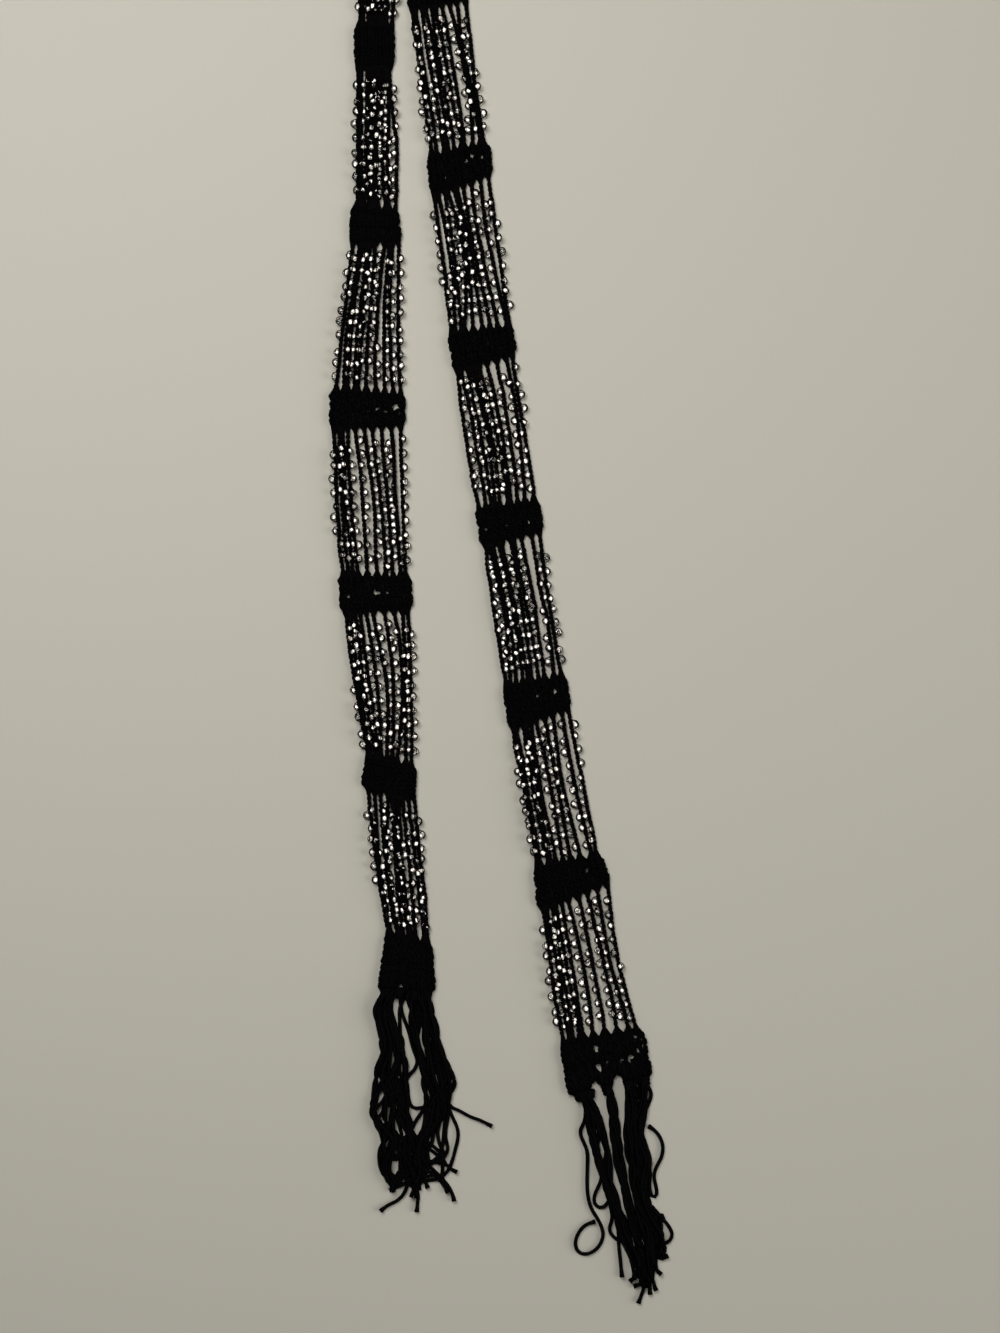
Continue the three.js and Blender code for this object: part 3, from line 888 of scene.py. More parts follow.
PANELS = [
    PanelLie(
        Spacing("283373494", 0.08, 0.95), Spacing("482833974", 0.0, 0.98), Spacing("749344356", 0.07, 1.0),
        covered=0.5, left_out=(0.3, 1), right_out=(0.5, 1),
    ),
    PanelLie(
        Spacing("252255495", 0.07, 0.94), Spacing("336595834", 0.03, 0.97), Spacing("334459774", 0.05, 0.96),
        covered=0.1, left_out=(0, 0.45),
    ),
    PanelLie(
        Spacing("434777564", 0.05, 0.94), Spacing("434975656", 0.0, 0.96), Spacing("424566777", 0.02, 0.96),
        covered=0.1, left_out=(0.3, 1),
    ),
    PanelLie(
        Spacing("625267665", 0.05, 0.98), Spacing("534455657", 0.03, 0.97), Spacing("733349426", 0.05, 1.0),
        covered=0.1,
    ),
    PanelLie(
        Spacing("336233926", 0.1, 0.98), Spacing("462522449", 0.06, 1.04), Spacing("393373833", 0.07, 0.88),
        covered=0.5, right_out=(0.5, 1),
    ),
    PanelLie(Spacing("383364339", 0.14, 0.97), covered=0.5),
    PanelLie(covered=0.4),
    PanelLie(covered=0.3),
    PanelLie(),
    PanelLie(),
    PanelLie(
        Spacing("584682893", 0.06, 0.95), Spacing("455355925", 0.04, 0.94), Spacing("263636688", 0.04, 0.97),
        covered=0.05, left_out=(0, 0.5), right_out=(0, 0.5),
    ),
    PanelLie(
        Spacing("252887672", 0.04, 0.98), Spacing("637253577", 0.04, 0.96), Spacing("262626877", 0.03, 0.95),
        covered=0.15, left_out=(0.3, 1), right_out=(0, 0.7),
    ),
    PanelLie(
        Spacing("552472568", 0.04, 0.95), Spacing("745345684", 0.02, 0.96), Spacing("253337885", 0.05, 0.96),
        covered=0.3, left_out=(0, 0), right_out=(0.5, 1),
    ),
    PanelLie(
        Spacing("255526576", 0.05, 0.96), Spacing("735263676", 0.03, 0.95), Spacing("235373697", 0.06, 0.96),
        covered=0.12, left_out=(0, 0),
    ),
    PanelLie(
        Spacing("262446883", 0.04, 0.94), Spacing("344285596", 0.03, 0.96),
        Spacing("272447876", 0.05, 0.985),
        covered=0.15, left_out=(0, 0.7), right_out=(0.6, 1),
    ),
    PanelLie(
        Spacing("424368885", 0.03, 0.955), Spacing("533468746", 0.01, 0.9),
        Spacing("343448688", 0.04, 0.985),
        covered=0.05, left_out=(0, 1), right_out=(0.44, 0.52),
    ),
]

# Places where a band is worked so loosely that it shows a hole: across, along, size
HOLES = {
    2: ((0.68, 0.48, 0.9),),
    3: ((0.10, 0.42, 1.2), (0.48, 0.55, 1.3), (0.53, 0.50, 1.4), (0.66, 0.50, 1.2), (0.93, 0.48, 1.3)),
    4: (
        (0.07, 0.53, 0.8), (0.47, 0.50, 1.5), (0.56, 0.46, 1.6), (0.66, 0.50, 1.8), (0.75, 0.44, 1.5),
        (0.90, 0.58, 2.0), (0.96, 0.46, 1.9),
    ),
    12: ((0.24, 0.30, 0.9), (0.62, 0.61, 1.1), (0.73, 0.75, 1.2), (0.87, 0.64, 1.1)),
    13: ((0.49, 0.49, 0.9), (0.59, 0.49, 1.1)),
    14: (
        (0.10, 0.40, 1.2), (0.24, 0.38, 1.1), (0.45, 0.39, 1.1), (0.66, 0.40, 1.2), (0.82, 0.40, 1.3),
        (0.94, 0.42, 1.1),
    ),
    15: ((0.52, 0.55, 1.2), (0.81, 0.61, 1.3)),
    16: ((0.54, 0.45, 1.1), (0.64, 0.54, 1.2), (0.76, 0.62, 1.4)),
    17: (
        (0.41, 0.80, 1.6), (0.40, 0.42, 1.8), (0.53, 0.50, 1.3), (0.68, 0.47, 1.1), (0.69, 0.55, 1.1),
        (0.78, 0.46, 1.6), (0.82, 0.50, 1.6), (0.91, 0.57, 0.9), (0.94, 0.88, 1.0),
    ),
}

# Gaps between tufts that reach up into an end band: middle across, half width and depth
NOTCHES = {
    1: ((0.40, 0.10, 0.14),),
    17: ((0.32, 0.085, 0.19), (0.60, 0.075, 0.24)),
}

@dataclass
class BeadedPanel(ScarfPiece):
    """Ten chain cords between two bands, each with glass beads along one side."""

    kind: ClassVar[str] = "beaded_panel"
    seed: ClassVar[int] = 700
    points: int = 46
    root_overlap: float = 0.9  # how far a cord starts inside its band
    root_length: float = 6.4  # how far the yarns of a cord's root run along it
    unrest: float = 0.5  # how far a cord swings slowly from side to side at random
    wave: float = 0.5  # how far it does so quickly
    crease_start: float = 0.45  # the share of its step aside that a cord has made before the crease
    crease_share: float = 0.1  # the share that it makes round the crease
    bare_end: float = 9.6  # from a band to the first bead
    last_reach: float = 1.0  # how much closer the last bead may be to its band
    first_play: float = 2.3  # how far a cord's beads are from their place together
    bead_play: float = 0.9  # how far each is from its own
    turned: tuple[float, float] = (0.3, 1.6)  # where along a cord its beads change sides, in its lengths
    detour: float = 0.6  # how far a cord is pushed aside by each bead
    climb: float = 2.2  # how far it climbs over a bead that has slipped under it
    yielding: tuple[float, float] = (0.6, 1.2)  # the share of both that a cord takes
    bend: float = 1.7  # how far along a cord they reach
    stand_off: float = 1.9  # from a cord's middle to a bead's
    nearness: tuple[float, float] = (0.75, 1.05)  # the share of it that a bead keeps
    lean: tuple[float, float] = (-0.1, 1.1)  # how far up a bead sits on its cord's side, in radians
    edge_lean: tuple[float, float] = (0.35, 1.25)  # the same for the outermost cords' beads
    tucked: tuple[float, float] = (-1.4, -0.8)  # the same for a bead that has slipped under its cord
    skew: float = 0.4  # how far a bead's hole is off its cord's direction
    tipped: float = 0.22  # the share of the beads that have tipped over
    tip: float = 1.4  # how far those are off it
    size: tuple[float, float] = (0.97, 0.07)  # the beads' mean size and its spread
    size_limits: tuple[float, float] = (0.8, 1.12)
    loop_yarn: float = 0.27  # the radius of the yarn of a bead's loop
    over_top: float = 0.4  # the share of the loops that pass over their bead's top
    tilt: tuple[float, float] = (0.8, 4.0)  # how far those are turned up
    # A loop's places: along, in bead lengths, and out, in bead radii, from the bead's middle, or for its two
    # ends from the cord
    loop: tuple[tuple[float, float], ...] = (
        (-1.0, 0.3),
        (-0.62, 0.62),
        (-0.3, 0.98),
        (0.0, 1.1),
        (0.3, 0.98),
        (0.62, 0.62),
        (1.0, 0.3),
    )
    # A root yarn's places: along, as a share of its length; aside, of the way to its goal; and its radius
    root: tuple[tuple[float, float, float], ...] = (
        (0.0, 1.0, 0.9),
        (0.35, 0.62, 0.75),
        (0.7, 0.28, 0.6),
        (1.0, 0.0, 0.4),
    )
    root_limits: tuple[float, float] = (0.85, 1.8)  # how much longer roots are that meet soon
    root_gap: float = 1.4  # the gap between roots that makes them as long as usual
    root_play: tuple[float, float] = (0.8, 1.3)  # their length besides, as shares of the usual one
    root_wider: float = 0.3  # how much wider a cord's stitches are at its ends
    # The yarns of each half of a root: how far each fans out and how long it is, as shares
    fan: tuple[tuple[float, float], ...] = ((1.0, 1.0), (0.5, 0.7))
    open_height: float = 60.0  # the roof over cords that nothing lies on
    resting: float = 0.6  # the share of its full height from which the upper tail lies on the lower one
    give: float = 0.4  # how far it gives way upwards there

    def sides(self) -> tuple[Side, Side]:
        """The band sides that the cords run between, the near one first, or at the fold the lower tail's."""
        before = self.plan.bands[self.number - 1]
        after = self.plan.bands[self.number]
        if self.number == FOLDED_PANEL:
            return before.side(1), after.side(1)
        low, high = (after, before) if self.upper else (before, after)
        return low.side(1), high.side(-1)

    def ways(self, rng: np.random.Generator) -> np.ndarray:
        """The cords' middle lines before they settle, cords by points by 3."""
        near, far = self.sides()
        lie = PANELS[self.number - 1]
        starts = near.place(lie.lower.shares(), -self.root_overlap)
        ends = far.place(lie.upper.shares(), -self.root_overlap)
        halfway = lie.middle.shares()
        middles = (near.place(halfway, 0) + far.place(halfway, 0)) / 2
        swings = wander(rng, CORDS_PER_PANEL, self.points, 3) * self.unrest
        swings += wander(rng, CORDS_PER_PANEL, self.points, 11) * self.wave
        if self.number == FOLDED_PANEL:
            return self.folded_ways(starts, ends, swings)
        t = np.linspace(0, 1, self.points)[:, None]
        flat = starts[:, None] + (ends - starts)[:, None] * t
        flat += np.sin(np.pi * t) * (middles - (starts + ends) / 2)[:, None]
        flat[..., 0] += swings
        height = self.plan.under(flat, self.upper) + CORD_RADIUS
        return np.concatenate([flat, height[..., None]], -1)

    def folded_ways(self, starts: np.ndarray, ends: np.ndarray, swings: np.ndarray) -> np.ndarray:
        """The cords of the folded panel: along the table, round the crease and back on top."""
        radius = self.plan.lift / 2
        centre = radius + CORD_RADIUS
        crease = CREASE_Y + SHIFT[1] - radius - CORD_RADIUS
        turn = np.linspace(0, np.pi, 9)
        ways = []
        for start, end, swing in zip(starts, ends, swings):
            x = start[0] + (end[0] - start[0]) * (self.crease_start + self.crease_share * turn / np.pi)
            arc = np.stack([x, crease + radius * np.sin(turn), centre - radius * np.cos(turn)], 1)
            top = self.plan.drape(end) + CORD_RADIUS
            way = resampled(np.vstack([[*start, CORD_RADIUS], arc, [*end, top]]), self.points)
            way[:, 0] += swing
            ways.append(way)
        return np.stack(ways)

    def hung_beads(self, ways: np.ndarray, rng: np.random.Generator) -> tuple[np.ndarray, np.ndarray]:
        """The beads' middles before they settle and the cord points they hang at. The cords make way."""
        usual = BeadSide.LEFT if self.upper else BeadSide.RIGHT
        lie = PANELS[self.number - 1]
        outside = {0: (BeadSide.LEFT, lie.left_out), CORDS_PER_PANEL - 1: (BeadSide.RIGHT, lie.right_out)}
        anchors = []
        middles = []
        for cord, way in enumerate(ways):
            length = way_length(way)
            first = self.bare_end + self.root_overlap + rng.uniform(-self.first_play, self.first_play)
            turned = length * rng.uniform(*self.turned)
            straight = way.copy()
            for at in np.arange(first, length - self.bare_end + self.last_reach, BEAD_PITCH):
                play = rng.uniform(-self.bead_play, self.bead_play)
                point = int(round((at + play) / length * (self.points - 1)))
                side = usual * (-1 if at > turned else 1)
                if cord in outside:
                    side, (low, high) = outside[cord]
                    side *= 1 if low <= at / length <= high else -1
                anchors.append((cord, point))
                ahead = unit(straight[point + 1] - straight[point - 1])
                right = unit(np.cross(ahead, UP)) if abs(ahead[2]) < 0.9 else np.array([1.0, 0, 0])
                outward = np.cross(right, ahead)
                under = rng.random() < lie.covered
                upright = self.edge_lean if cord in outside else self.lean
                lean = rng.uniform(*(self.tucked if under else upright))
                away = self.stand_off * rng.uniform(*self.nearness)
                aside = right * side * math.cos(lean) + outward * math.sin(lean)
                middles.append(straight[point] + away * aside)
                steps = (np.arange(self.points) - point) * length / (self.points - 1)
                near = rng.uniform(*self.yielding) * np.exp(-((steps / self.bend) ** 2))[:, None]
                way += near * (outward * self.climb if under else -right * side * self.detour)
        return np.array(middles), np.array(anchors)

    def add_roots(self, piece: PieceMesh, ways: np.ndarray, rng: np.random.Generator) -> None:
        """Adds the yarns that fan out from each cord's end into the band's edge.

        Args:
            piece: The mesh that takes them.
            ways: The cords' middle lines.
            rng: The source of their unevenness.
        """
        near, far = self.sides()
        forward, aside, radii = np.array(self.root).T
        roots = []
        for side, ends in ((near, ways), (far, ways[:, ::-1])):
            along = (ends[:, 0, :2] - side.left) @ side.direction
            middles = np.concatenate([[0.0], (along[1:] + along[:-1]) / 2, [side.width]])
            for cord, way in enumerate(ends):
                lengths = distances(way)
                for goal in (middles[cord], middles[cord + 1]):
                    step = goal - along[cord]
                    closing = float(np.clip(self.root_gap / abs(step), *self.root_limits))
                    for part, stretch in self.fan:
                        reach = self.root_length * closing * stretch * rng.uniform(*self.root_play)
                        line = sampled(way, lengths, forward * reach)
                        line[:, :2] += side.direction * (step * part * aside)[:, None]
                        roots.append(line)
        piece.tubes(np.array(roots), radii, 4)

    def add_loops(
        self,
        piece: PieceMesh,
        held: np.ndarray,
        ahead: np.ndarray,
        middles: np.ndarray,
        rng: np.random.Generator,
    ) -> None:
        """Adds the loop of thin yarn that holds each bead: from the cord, past the bead's outside and back.

        Args:
            piece: The mesh that takes them.
            held: The place on its cord that each bead hangs at.
            ahead: The cord's direction there.
            middles: The beads' middles.
            rng: The source of their unevenness.
        """
        away = middles - held
        out = unit(away - (away * ahead).sum(1, keepdims=True) * ahead)
        out[:, 2] += rng.uniform(*self.tilt, len(out)) * (rng.random(len(out)) < self.over_top)
        out = unit(out)
        steps = []
        for along, reach in self.loop:
            start = held if abs(along) == 1 else middles
            place = start + ahead * along * BEAD_LENGTH + out * reach * BEAD_RADIUS
            place[:, 2] = np.maximum(place[:, 2], self.floor(place) + self.loop_yarn)
            steps.append(place)
        piece.tubes(np.stack(steps, 1), self.loop_yarn, 4)

    def add_beads(
        self, piece: PieceMesh, ahead: np.ndarray, middles: np.ndarray, rng: np.random.Generator
    ) -> None:
        """Adds the beads, most of them with their holes along their cord.

        Args:
            piece: The mesh that takes them.
            ahead: The cord's direction at each bead.
            middles: The beads' middles.
            rng: The source of their unevenness.
        """
        axes = ahead + rng.normal(0, self.skew, ahead.shape)
        over = rng.random(len(axes)) < self.tipped
        axes[over] += rng.normal(0, self.tip, (int(over.sum()), 3))
        sizes = np.clip(rng.normal(*self.size, len(axes)), *self.size_limits)
        middles[:, 2] = np.maximum(middles[:, 2], self.floor(middles) + BEAD_RADIUS * sizes)
        Rocaille().add_to(piece, middles, axes, sizes)
        LOG.info("%s: %d beads", self.node, len(middles))

    def floor(self, points: np.ndarray) -> np.ndarray:
        """What is under the panel."""
        return self.plan.under(points, self.upper)

    def roof(self, points: np.ndarray) -> np.ndarray:
        """What presses on the panel: the upper tail, where it lies on the lower one."""
        free = np.full(len(points), self.open_height)
        if self.upper or self.number == FOLDED_PANEL:
            return free
        lift = self.plan.lift
        return np.where(self.plan.drape(points) > lift * self.resting, lift + self.give, free)

    def build(self) -> None:
        """Makes the panel's cords and beads."""
        rng = self.draws()
        ways = self.ways(rng)
        middles, anchors = self.hung_beads(ways, rng)
        ways, middles = Settling().run(ways, middles, anchors, self.floor, self.roof)
        cord, point = anchors.T
        ahead = unit(ways[cord, point + 1] - ways[cord, point - 1])
        stitches = PieceMesh()
        backs = PieceMesh()
        beads = PieceMesh()
        for way in ways:
            ChainStitch().add_to(stitches, way, root=self.root_wider, backs=backs)
        self.add_roots(stitches, ways, rng)
        self.add_loops(stitches, ways[cord, point], ahead, middles, rng)
        self.add_beads(beads, ahead, middles, rng)
        face = stitches.build(f"{self.node}_stitches", [self.wardrobe.cord], Slot.CORD)
        net = backs.build(f"{self.node}_cords", [self.wardrobe.cord], Slot.CORD)
        glass = beads.build(f"{self.node}_beads", [self.wardrobe.glass, self.wardrobe.lining], Slot.BEAD)
        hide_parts(self.node)
        length = float(way_length(ways).mean()) * MM


@dataclass
class CrochetBand(ScarfPiece):
    """A solid band: two rows of tall stitches on a thin ground of yarn, with chain edges."""

    kind: ClassVar[str] = "band"
    seed: ClassVar[int] = 100
    posts: int = CORDS_PER_PANEL
    rows: int = 2
    turns: float = 1.4  # how often a post's two yarns turn about each other
    post_points: int = 9
    post_yarn: float = 0.26  # a post's yarn as a share of the posts' pitch
    yarn_limits: tuple[float, float] = (0.6, 0.8)
    post_play: float = 0.12  # how far a post is from its place, in pitches
    slant: float = 0.04  # how far a post's top is aside of its foot, as a share of the width
    crowded: float = 2.9  # the pitch below which every other post rides up
    ride: float = 0.55  # how far it does, as a share of what is missing
    # The chains along the rows' tops: their places along the band and their heights
    chains: tuple[tuple[float, float], ...] = ((0.03, 1.5), (0.5, 2.0), (0.97, 1.5))
    sway: float = 0.035  # how far a chain strays from its place
    bulge: tuple[float, float] = (0.1, 1.2)  # how far a row's edge swells
    loops: int = 6  # loose loops on each side edge
    loop_yarn: float = 0.62
    cells: tuple[int, int] = (26, 14)  # the ground's cells across and along
    ground_heights: tuple[float, float] = (0.55, 1.5)  # of its underside and its top
    lump: float = 0.12  # how uneven they are

    def lifted(self, across: np.ndarray, along: np.ndarray, height: np.ndarray | float) -> np.ndarray:
        """Points over the band's underside, at shares across it and along it."""
        cut = np.zeros(np.shape(across))
        for middle, half, depth in NOTCHES.get(self.number, ()):
            arch = np.cos(np.clip((np.asarray(across) - middle) / half, -1, 1) * np.pi / 2)
            cut = np.maximum(cut, depth * np.clip(1.5 * arch, 0, 1))
        flat = self.shape.place(across, cut + (1 - cut) * np.asarray(along))
        z = self.plan.under(flat, self.upper) + height
        return np.concatenate([flat, z[..., None]], -1)

    @property
    def shape(self) -> BandShape:
        """The band's corners."""
        return self.plan.bands[self.number - 1]

    def spots(self) -> list[tuple[np.ndarray, float]]:
        """The middles and sizes of the band's holes."""
        holes = HOLES.get(self.number, ())
        return [(self.shape.place(np.array(across), np.array(along)), size) for across, along, size in holes]

    def round_holes(self, ways: np.ndarray, yarn: float) -> np.ndarray:
        """The ways, with what would cross a hole pushed out to its rim."""
        for spot, size in self.spots():
            away = ways[..., :2] - spot
            far = np.linalg.norm(away, axis=-1, keepdims=True)
            short = np.clip(size + yarn * 0.6 - far, 0, None)
            ways[..., :2] += away / np.maximum(far, 1e-6) * short
        return ways

    def add_posts(self, piece: PieceMesh, rng: np.random.Generator) -> None:
        """Adds the tall stitches: each two yarns twisted about a post."""
        pitch = self.shape.width / self.posts
        yarn = float(np.clip(pitch * self.post_yarn, *self.yarn_limits))
        swing = yarn * 0.95
        t = np.linspace(0, 1, self.post_points)
        ways = []
        for row in range(self.rows):
            for post in range(self.posts):
                middle = (post + 0.5 + rng.uniform(-self.post_play, self.post_play)) / self.posts
                slant = rng.uniform(-self.slant, self.slant)
                raised = max(0.0, self.crowded - pitch) * self.ride * (post % 2)
                turn = rng.uniform(0, np.pi)
                for ply in (0, np.pi):
                    angle = turn + ply + 2 * np.pi * self.turns * t
                    across = middle + slant * (t - 0.5) + swing * np.cos(angle) / self.shape.width
                    along = (row + 0.02 + 0.96 * t) / self.rows
                    height = yarn + swing * (1 + np.sin(angle)) + raised
                    ways.append(self.lifted(np.clip(across, 0.01, 0.99), along, height))
        radii = yarn * np.array([0.7, *[1.0] * (self.post_points - 2), 0.7])
        piece.tubes(self.round_holes(np.array(ways), yarn), radii, 6)

    def add_chains(self, piece: PieceMesh, rng: np.random.Generator) -> None:
        """Adds the chains along the rows' tops and the turning chains down both ends."""
        stitch = ChainStitch(length=self.shape.width / self.posts, spread=0.75, yarn=0.6)
        t = np.linspace(0.0, 1.0, 21)
        for along, height in self.chains:
            way = self.lifted(t, along + wander(rng, 1, len(t), 6)[0] * self.sway, height)
            stitch.add_to(piece, self.round_holes(way, 1.2), core=0.8)
        edge = ChainStitch(length=3.4, spread=0.8, yarn=0.62)
        down = np.linspace(0.02, 0.98, 9)
        arch = np.sin(np.pi * down)
        round_it = np.linspace(-0.7, np.pi + 0.7, 8)
        for side in (0, 1):
            out = (1 if side else -1) / self.shape.width
            for row in range(self.rows):
                across = side + out * (rng.uniform(*self.bulge) * arch - 0.5)
                edge.add_to(piece, self.lifted(across, (row + down) / self.rows, 1.5 + 0.3 * arch))
            for _ in range(self.loops):
                middle = rng.uniform(0.06, 0.94)
                size = rng.uniform(0.3, 1.0)
                across = side + out * (0.1 + size * np.sin(round_it))
                along = middle + size * 0.9 * np.cos(round_it) / self.shape.length
                way = self.lifted(across, np.clip(along, 0.01, 0.99), rng.uniform(0.8, 2.2))
                piece.tubes(way[None], self.loop_yarn, 6)

    def ground(self, rng: np.random.Generator) -> PieceMesh:
        """The thin dense middle of the band, closed, with its holes left out."""
        columns, rows = self.cells
        across, along = np.meshgrid(np.linspace(0, 1, columns + 1), np.linspace(0.01, 0.99, rows + 1))
        inset = 0.02 + 0.012 * np.cos(np.pi * self.rows * along) ** 2
        across = 0.5 + (across - 0.5) * (1 - 2 * inset)
        lumps = rng.uniform(-self.lump, self.lump, across.shape)
        underside, top_side = self.ground_heights
        low = self.lifted(across, along, underside + lumps * 0.5)
        high = self.lifted(across, along, top_side + lumps)
        vertices = np.concatenate([low.reshape(-1, 3), high.reshape(-1, 3)])
        kept = np.zeros((rows + 2, columns + 2), bool)  # with an empty cell all round
        kept[1:-1, 1:-1] = True
        centres = low[:-1, :-1] * 0.5 + low[1:, 1:] * 0.5
        for spot, size in self.spots():
            kept[1:-1, 1:-1] &= np.linalg.norm(centres[..., :2] - spot, axis=-1) > size
        number = np.arange(across.size).reshape(across.shape)
        top = across.size
        faces = []
        for j, i in np.argwhere(kept[1:-1, 1:-1]):
            a, b, c, d = number[j, i], number[j, i + 1], number[j + 1, i + 1], number[j + 1, i]
            faces.append((top + a, top + b, top + c, top + d))
            faces.append((a, d, c, b))
            beside = (kept[j, i + 1], kept[j + 1, i + 2], kept[j + 2, i + 1], kept[j + 1, i])
            for start, end, joined in zip((a, b, c, d), (b, c, d, a), beside):
                if not joined:
                    faces.append((start, end, top + end, top + start))
        corners = np.array(faces)
        piece = PieceMesh()
        piece.add(vertices, corners, vertices[corners][..., :2] * 1.3)
        return piece

    def build(self) -> None:
        """Makes the band's ground and stitches."""
        rng = self.draws()
        ground = self.ground(rng).build(f"{self.node}_ground", [self.wardrobe.band], Slot.BAND)
        stitches = PieceMesh()
        self.add_posts(stitches, rng)
        self.add_chains(stitches, rng)
        face = stitches.build(f"{self.node}_stitches", [self.wardrobe.band], Slot.BAND)
        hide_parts(self.node)
        self.shape.width * MM
        self.shape.length * MM


@dataclass(frozen=True)
class Level:
    """A fringe's bundles at one height: each one's left and right outside, from left to right."""

    y: float
    edges: tuple[tuple[float, float], ...]


@dataclass(frozen=True)
class Stray:
    """A strand that leaves its tuft: the height at which it turns off and its way from there."""

    leave: float
    via: tuple[tuple[float, float], ...]


@dataclass(frozen=True)
class Tuft:
    """A tuft of the fringe."""

    at: float  # its head's place across the end band
    head: float  # the head's width
    bundle: int
    share: tuple[float, float]  # the part of the bundle that its strands fill
    end: float  # where its longest strand stops
    strands: int
    strays: tuple[Stray, ...]


@dataclass
class FringeEnd:
    """The fringe of one end band: tufts with knotted heads and loose yarn ends."""

    hand: str
    band: int
    curl: float  # how far round a strand's tail turns, at most, in radians
    tufts: list[Tuft]
    levels: list[Level]
    plan: ScarfPlan
    wardrobe: Wardrobe
    head_length: float = 4.5
    head_turns: int = 4
    head_yarn: float = 0.72
    coarse_step: float = 2.4  # between a strand's points while it settles
    fine_step: float = 1.7  # between them once it has
    mixing: float = 0.3  # how far a tuft's strands stray into its neighbour's part of the bundle
    golden: float = 0.618  # spreads any number of strands evenly across a tuft
    swing: tuple[float, float] = (0.15, 0.42)  # how far a strand swings across its part of the bundle
    ripple: tuple[float, float] = (0.2, 0.75)  # how far it ripples besides, in millimetres
    wave: float = 0.8  # how far it rises and falls
    layer_height: float = 1.5
    uneven_ends: float = 6.5  # the spread of the strands' lengths
    seed: int = 40

    @property
    def side(self) -> Side:
        """The end band's side that the fringe hangs from."""
        return self.plan.bands[self.band - 1].side(-1)

    def edges(self, bundle: int, y: np.ndarray | float) -> tuple[np.ndarray, np.ndarray]:
        """A bundle's left and right outside at heights in the frame."""
        upward = self.levels[::-1]
        at = [level.y + SHIFT[1] for level in upward]
        left, right = np.array([level.edges[bundle] for level in upward]).T + SHIFT[0]
        return np.interp(y, at, left), np.interp(y, at, right)

    def sway(self, down: np.ndarray, low: float, high: float, rng: np.random.Generator) -> np.ndarray:
        """Swings from -1 to 1 at distances down a strand, of a random pace between low and high."""
        return np.sin(down / rng.uniform(low, high) + rng.uniform(0, 6.3))

    def strand(
        self, tuft: Tuft, lane: float, layer: float, stop: float, rng: np.random.Generator
    ) -> np.ndarray:
        """A strand's way from inside the head to where it stops, swinging from side to side of its bundle.

        Args:
            tuft: Its tuft.
            lane: Its place across the tuft, from 0 at the left to 1 at the right.
            layer: Its height above the table, in layers.
            stop: The height on the table at which it stops.
            rng: The source of its swings.

        Returns:
            The way's places.
        """
        spread = (lane - 0.5) * tuft.head * 0.7
        start = self.side.place(tuft.at, -1.0) + self.side.direction * spread
        y = np.arange(start[1] - 4.5, stop + SHIFT[1], -3.5)
        down = start[1] - y
        low, high = tuft.share
        mix = self.mixing * smoothstep(down, 10, 60)
        slow = rng.uniform(*self.swing) * self.sway(down, 8, 15, rng)
        share = (low - mix) + (high - low + 2 * mix) * (lane + slow)
        share = 1 - np.abs(1 - share % 2)
        left, right = self.edges(tuft.bundle, y)
        quick = rng.uniform(*self.ripple) * self.sway(down, 2.6, 4.2, rng)
        x = left + YARN_RADIUS + (right - left - 2 * YARN_RADIUS) * share + quick
        height = YARN_RADIUS + layer * self.layer_height + self.wave * self.sway(down, 6, 12, rng)
        return np.vstack([[*start, 1.6], *np.stack([x, y, height], 1)])

    def tail(self, places: np.ndarray, bundle: int, rng: np.random.Generator) -> np.ndarray:
        """The places with a loose tail added, that curls inside its bundle or hangs nearly straight."""
        turn = self.curl * rng.uniform(0.1, 1.0) * rng.choice((-1, 1))
        along = np.linspace(0, 1, 7)
        last = places[-1]
        heading = math.atan2(last[1] - places[-2][1], last[0] - places[-2][0])
        angles = heading + turn * along**1.3
        reach = np.cumsum(np.stack([np.cos(angles), np.sin(angles)], 1), 0) * rng.uniform(1.6, 2.6)
        x, y = (last[:2] + reach).T
        left, right = self.edges(bundle, y)
        x = np.clip(x, left + 0.4, right - 0.4)
        height = np.maximum(YARN_RADIUS, last[2] + along * rng.uniform(-2.0, 1.5))
        return np.vstack([places, np.stack([x, y, height], 1)])

    def strands(self, rng: np.random.Generator) -> tuple[list[np.ndarray], list[int]]:
        """All strands' smooth ways, and the tuft of each."""
        ways = []
        owners = []
        for number, tuft in enumerate(self.tufts):
            for k in range(max(tuft.strands, len(tuft.strays) + 3)):
                lane = (k * self.golden + 0.1) % 1.0
                layer = (k % 3) * 0.8
                if k < len(tuft.strays):
                    stray = tuft.strays[k]
                    left, right = self.edges(tuft.bundle, stray.leave + SHIFT[1])
                    lane = float(np.clip((stray.via[0][0] + SHIFT[0] - left) / (right - left), 0.05, 0.95))
                    places = self.strand(tuft, lane, layer, stray.leave, rng)
                    off = [(x + SHIFT[0], y + SHIFT[1], YARN_RADIUS) for x, y in stray.via]
                    places = np.vstack([places, off])
                else:
                    stop = tuft.end + abs(rng.normal(0, self.uneven_ends))
                    places = self.strand(tuft, lane, layer, stop, rng)
                    places = self.tail(places, tuft.bundle, rng)
                ways.append(smooth_way(places, self.coarse_step))
                owners.append(number)
        return ways, owners

    def add_head(self, piece: PieceMesh, tuft: Tuft, rng: np.random.Generator) -> None:
        """Adds a tuft's knotted head: turns of yarn round the roots of its strands."""
        angles = np.linspace(0, 2 * np.pi, 15)[:, None]
        loops = []
        for turn in range(self.head_turns):
            share = (turn + 0.5) / self.head_turns
            middle = self.side.place(tuft.at, -0.6 + share * self.head_length)
            half = tuft.head / 2 * (1.0 - 0.18 * share) - 0.2
            slant = rng.uniform(-0.5, 0.5)
            step = self.side.out * (slant * np.cos(angles) + 0.25 * np.sin(angles))
            flat = middle + self.side.direction * (half * np.cos(angles)) + step
            loops.append(np.concatenate([flat, 1.9 + 1.15 * np.sin(angles)], 1))
        piece.tubes(np.array(loops), self.head_yarn, 6)

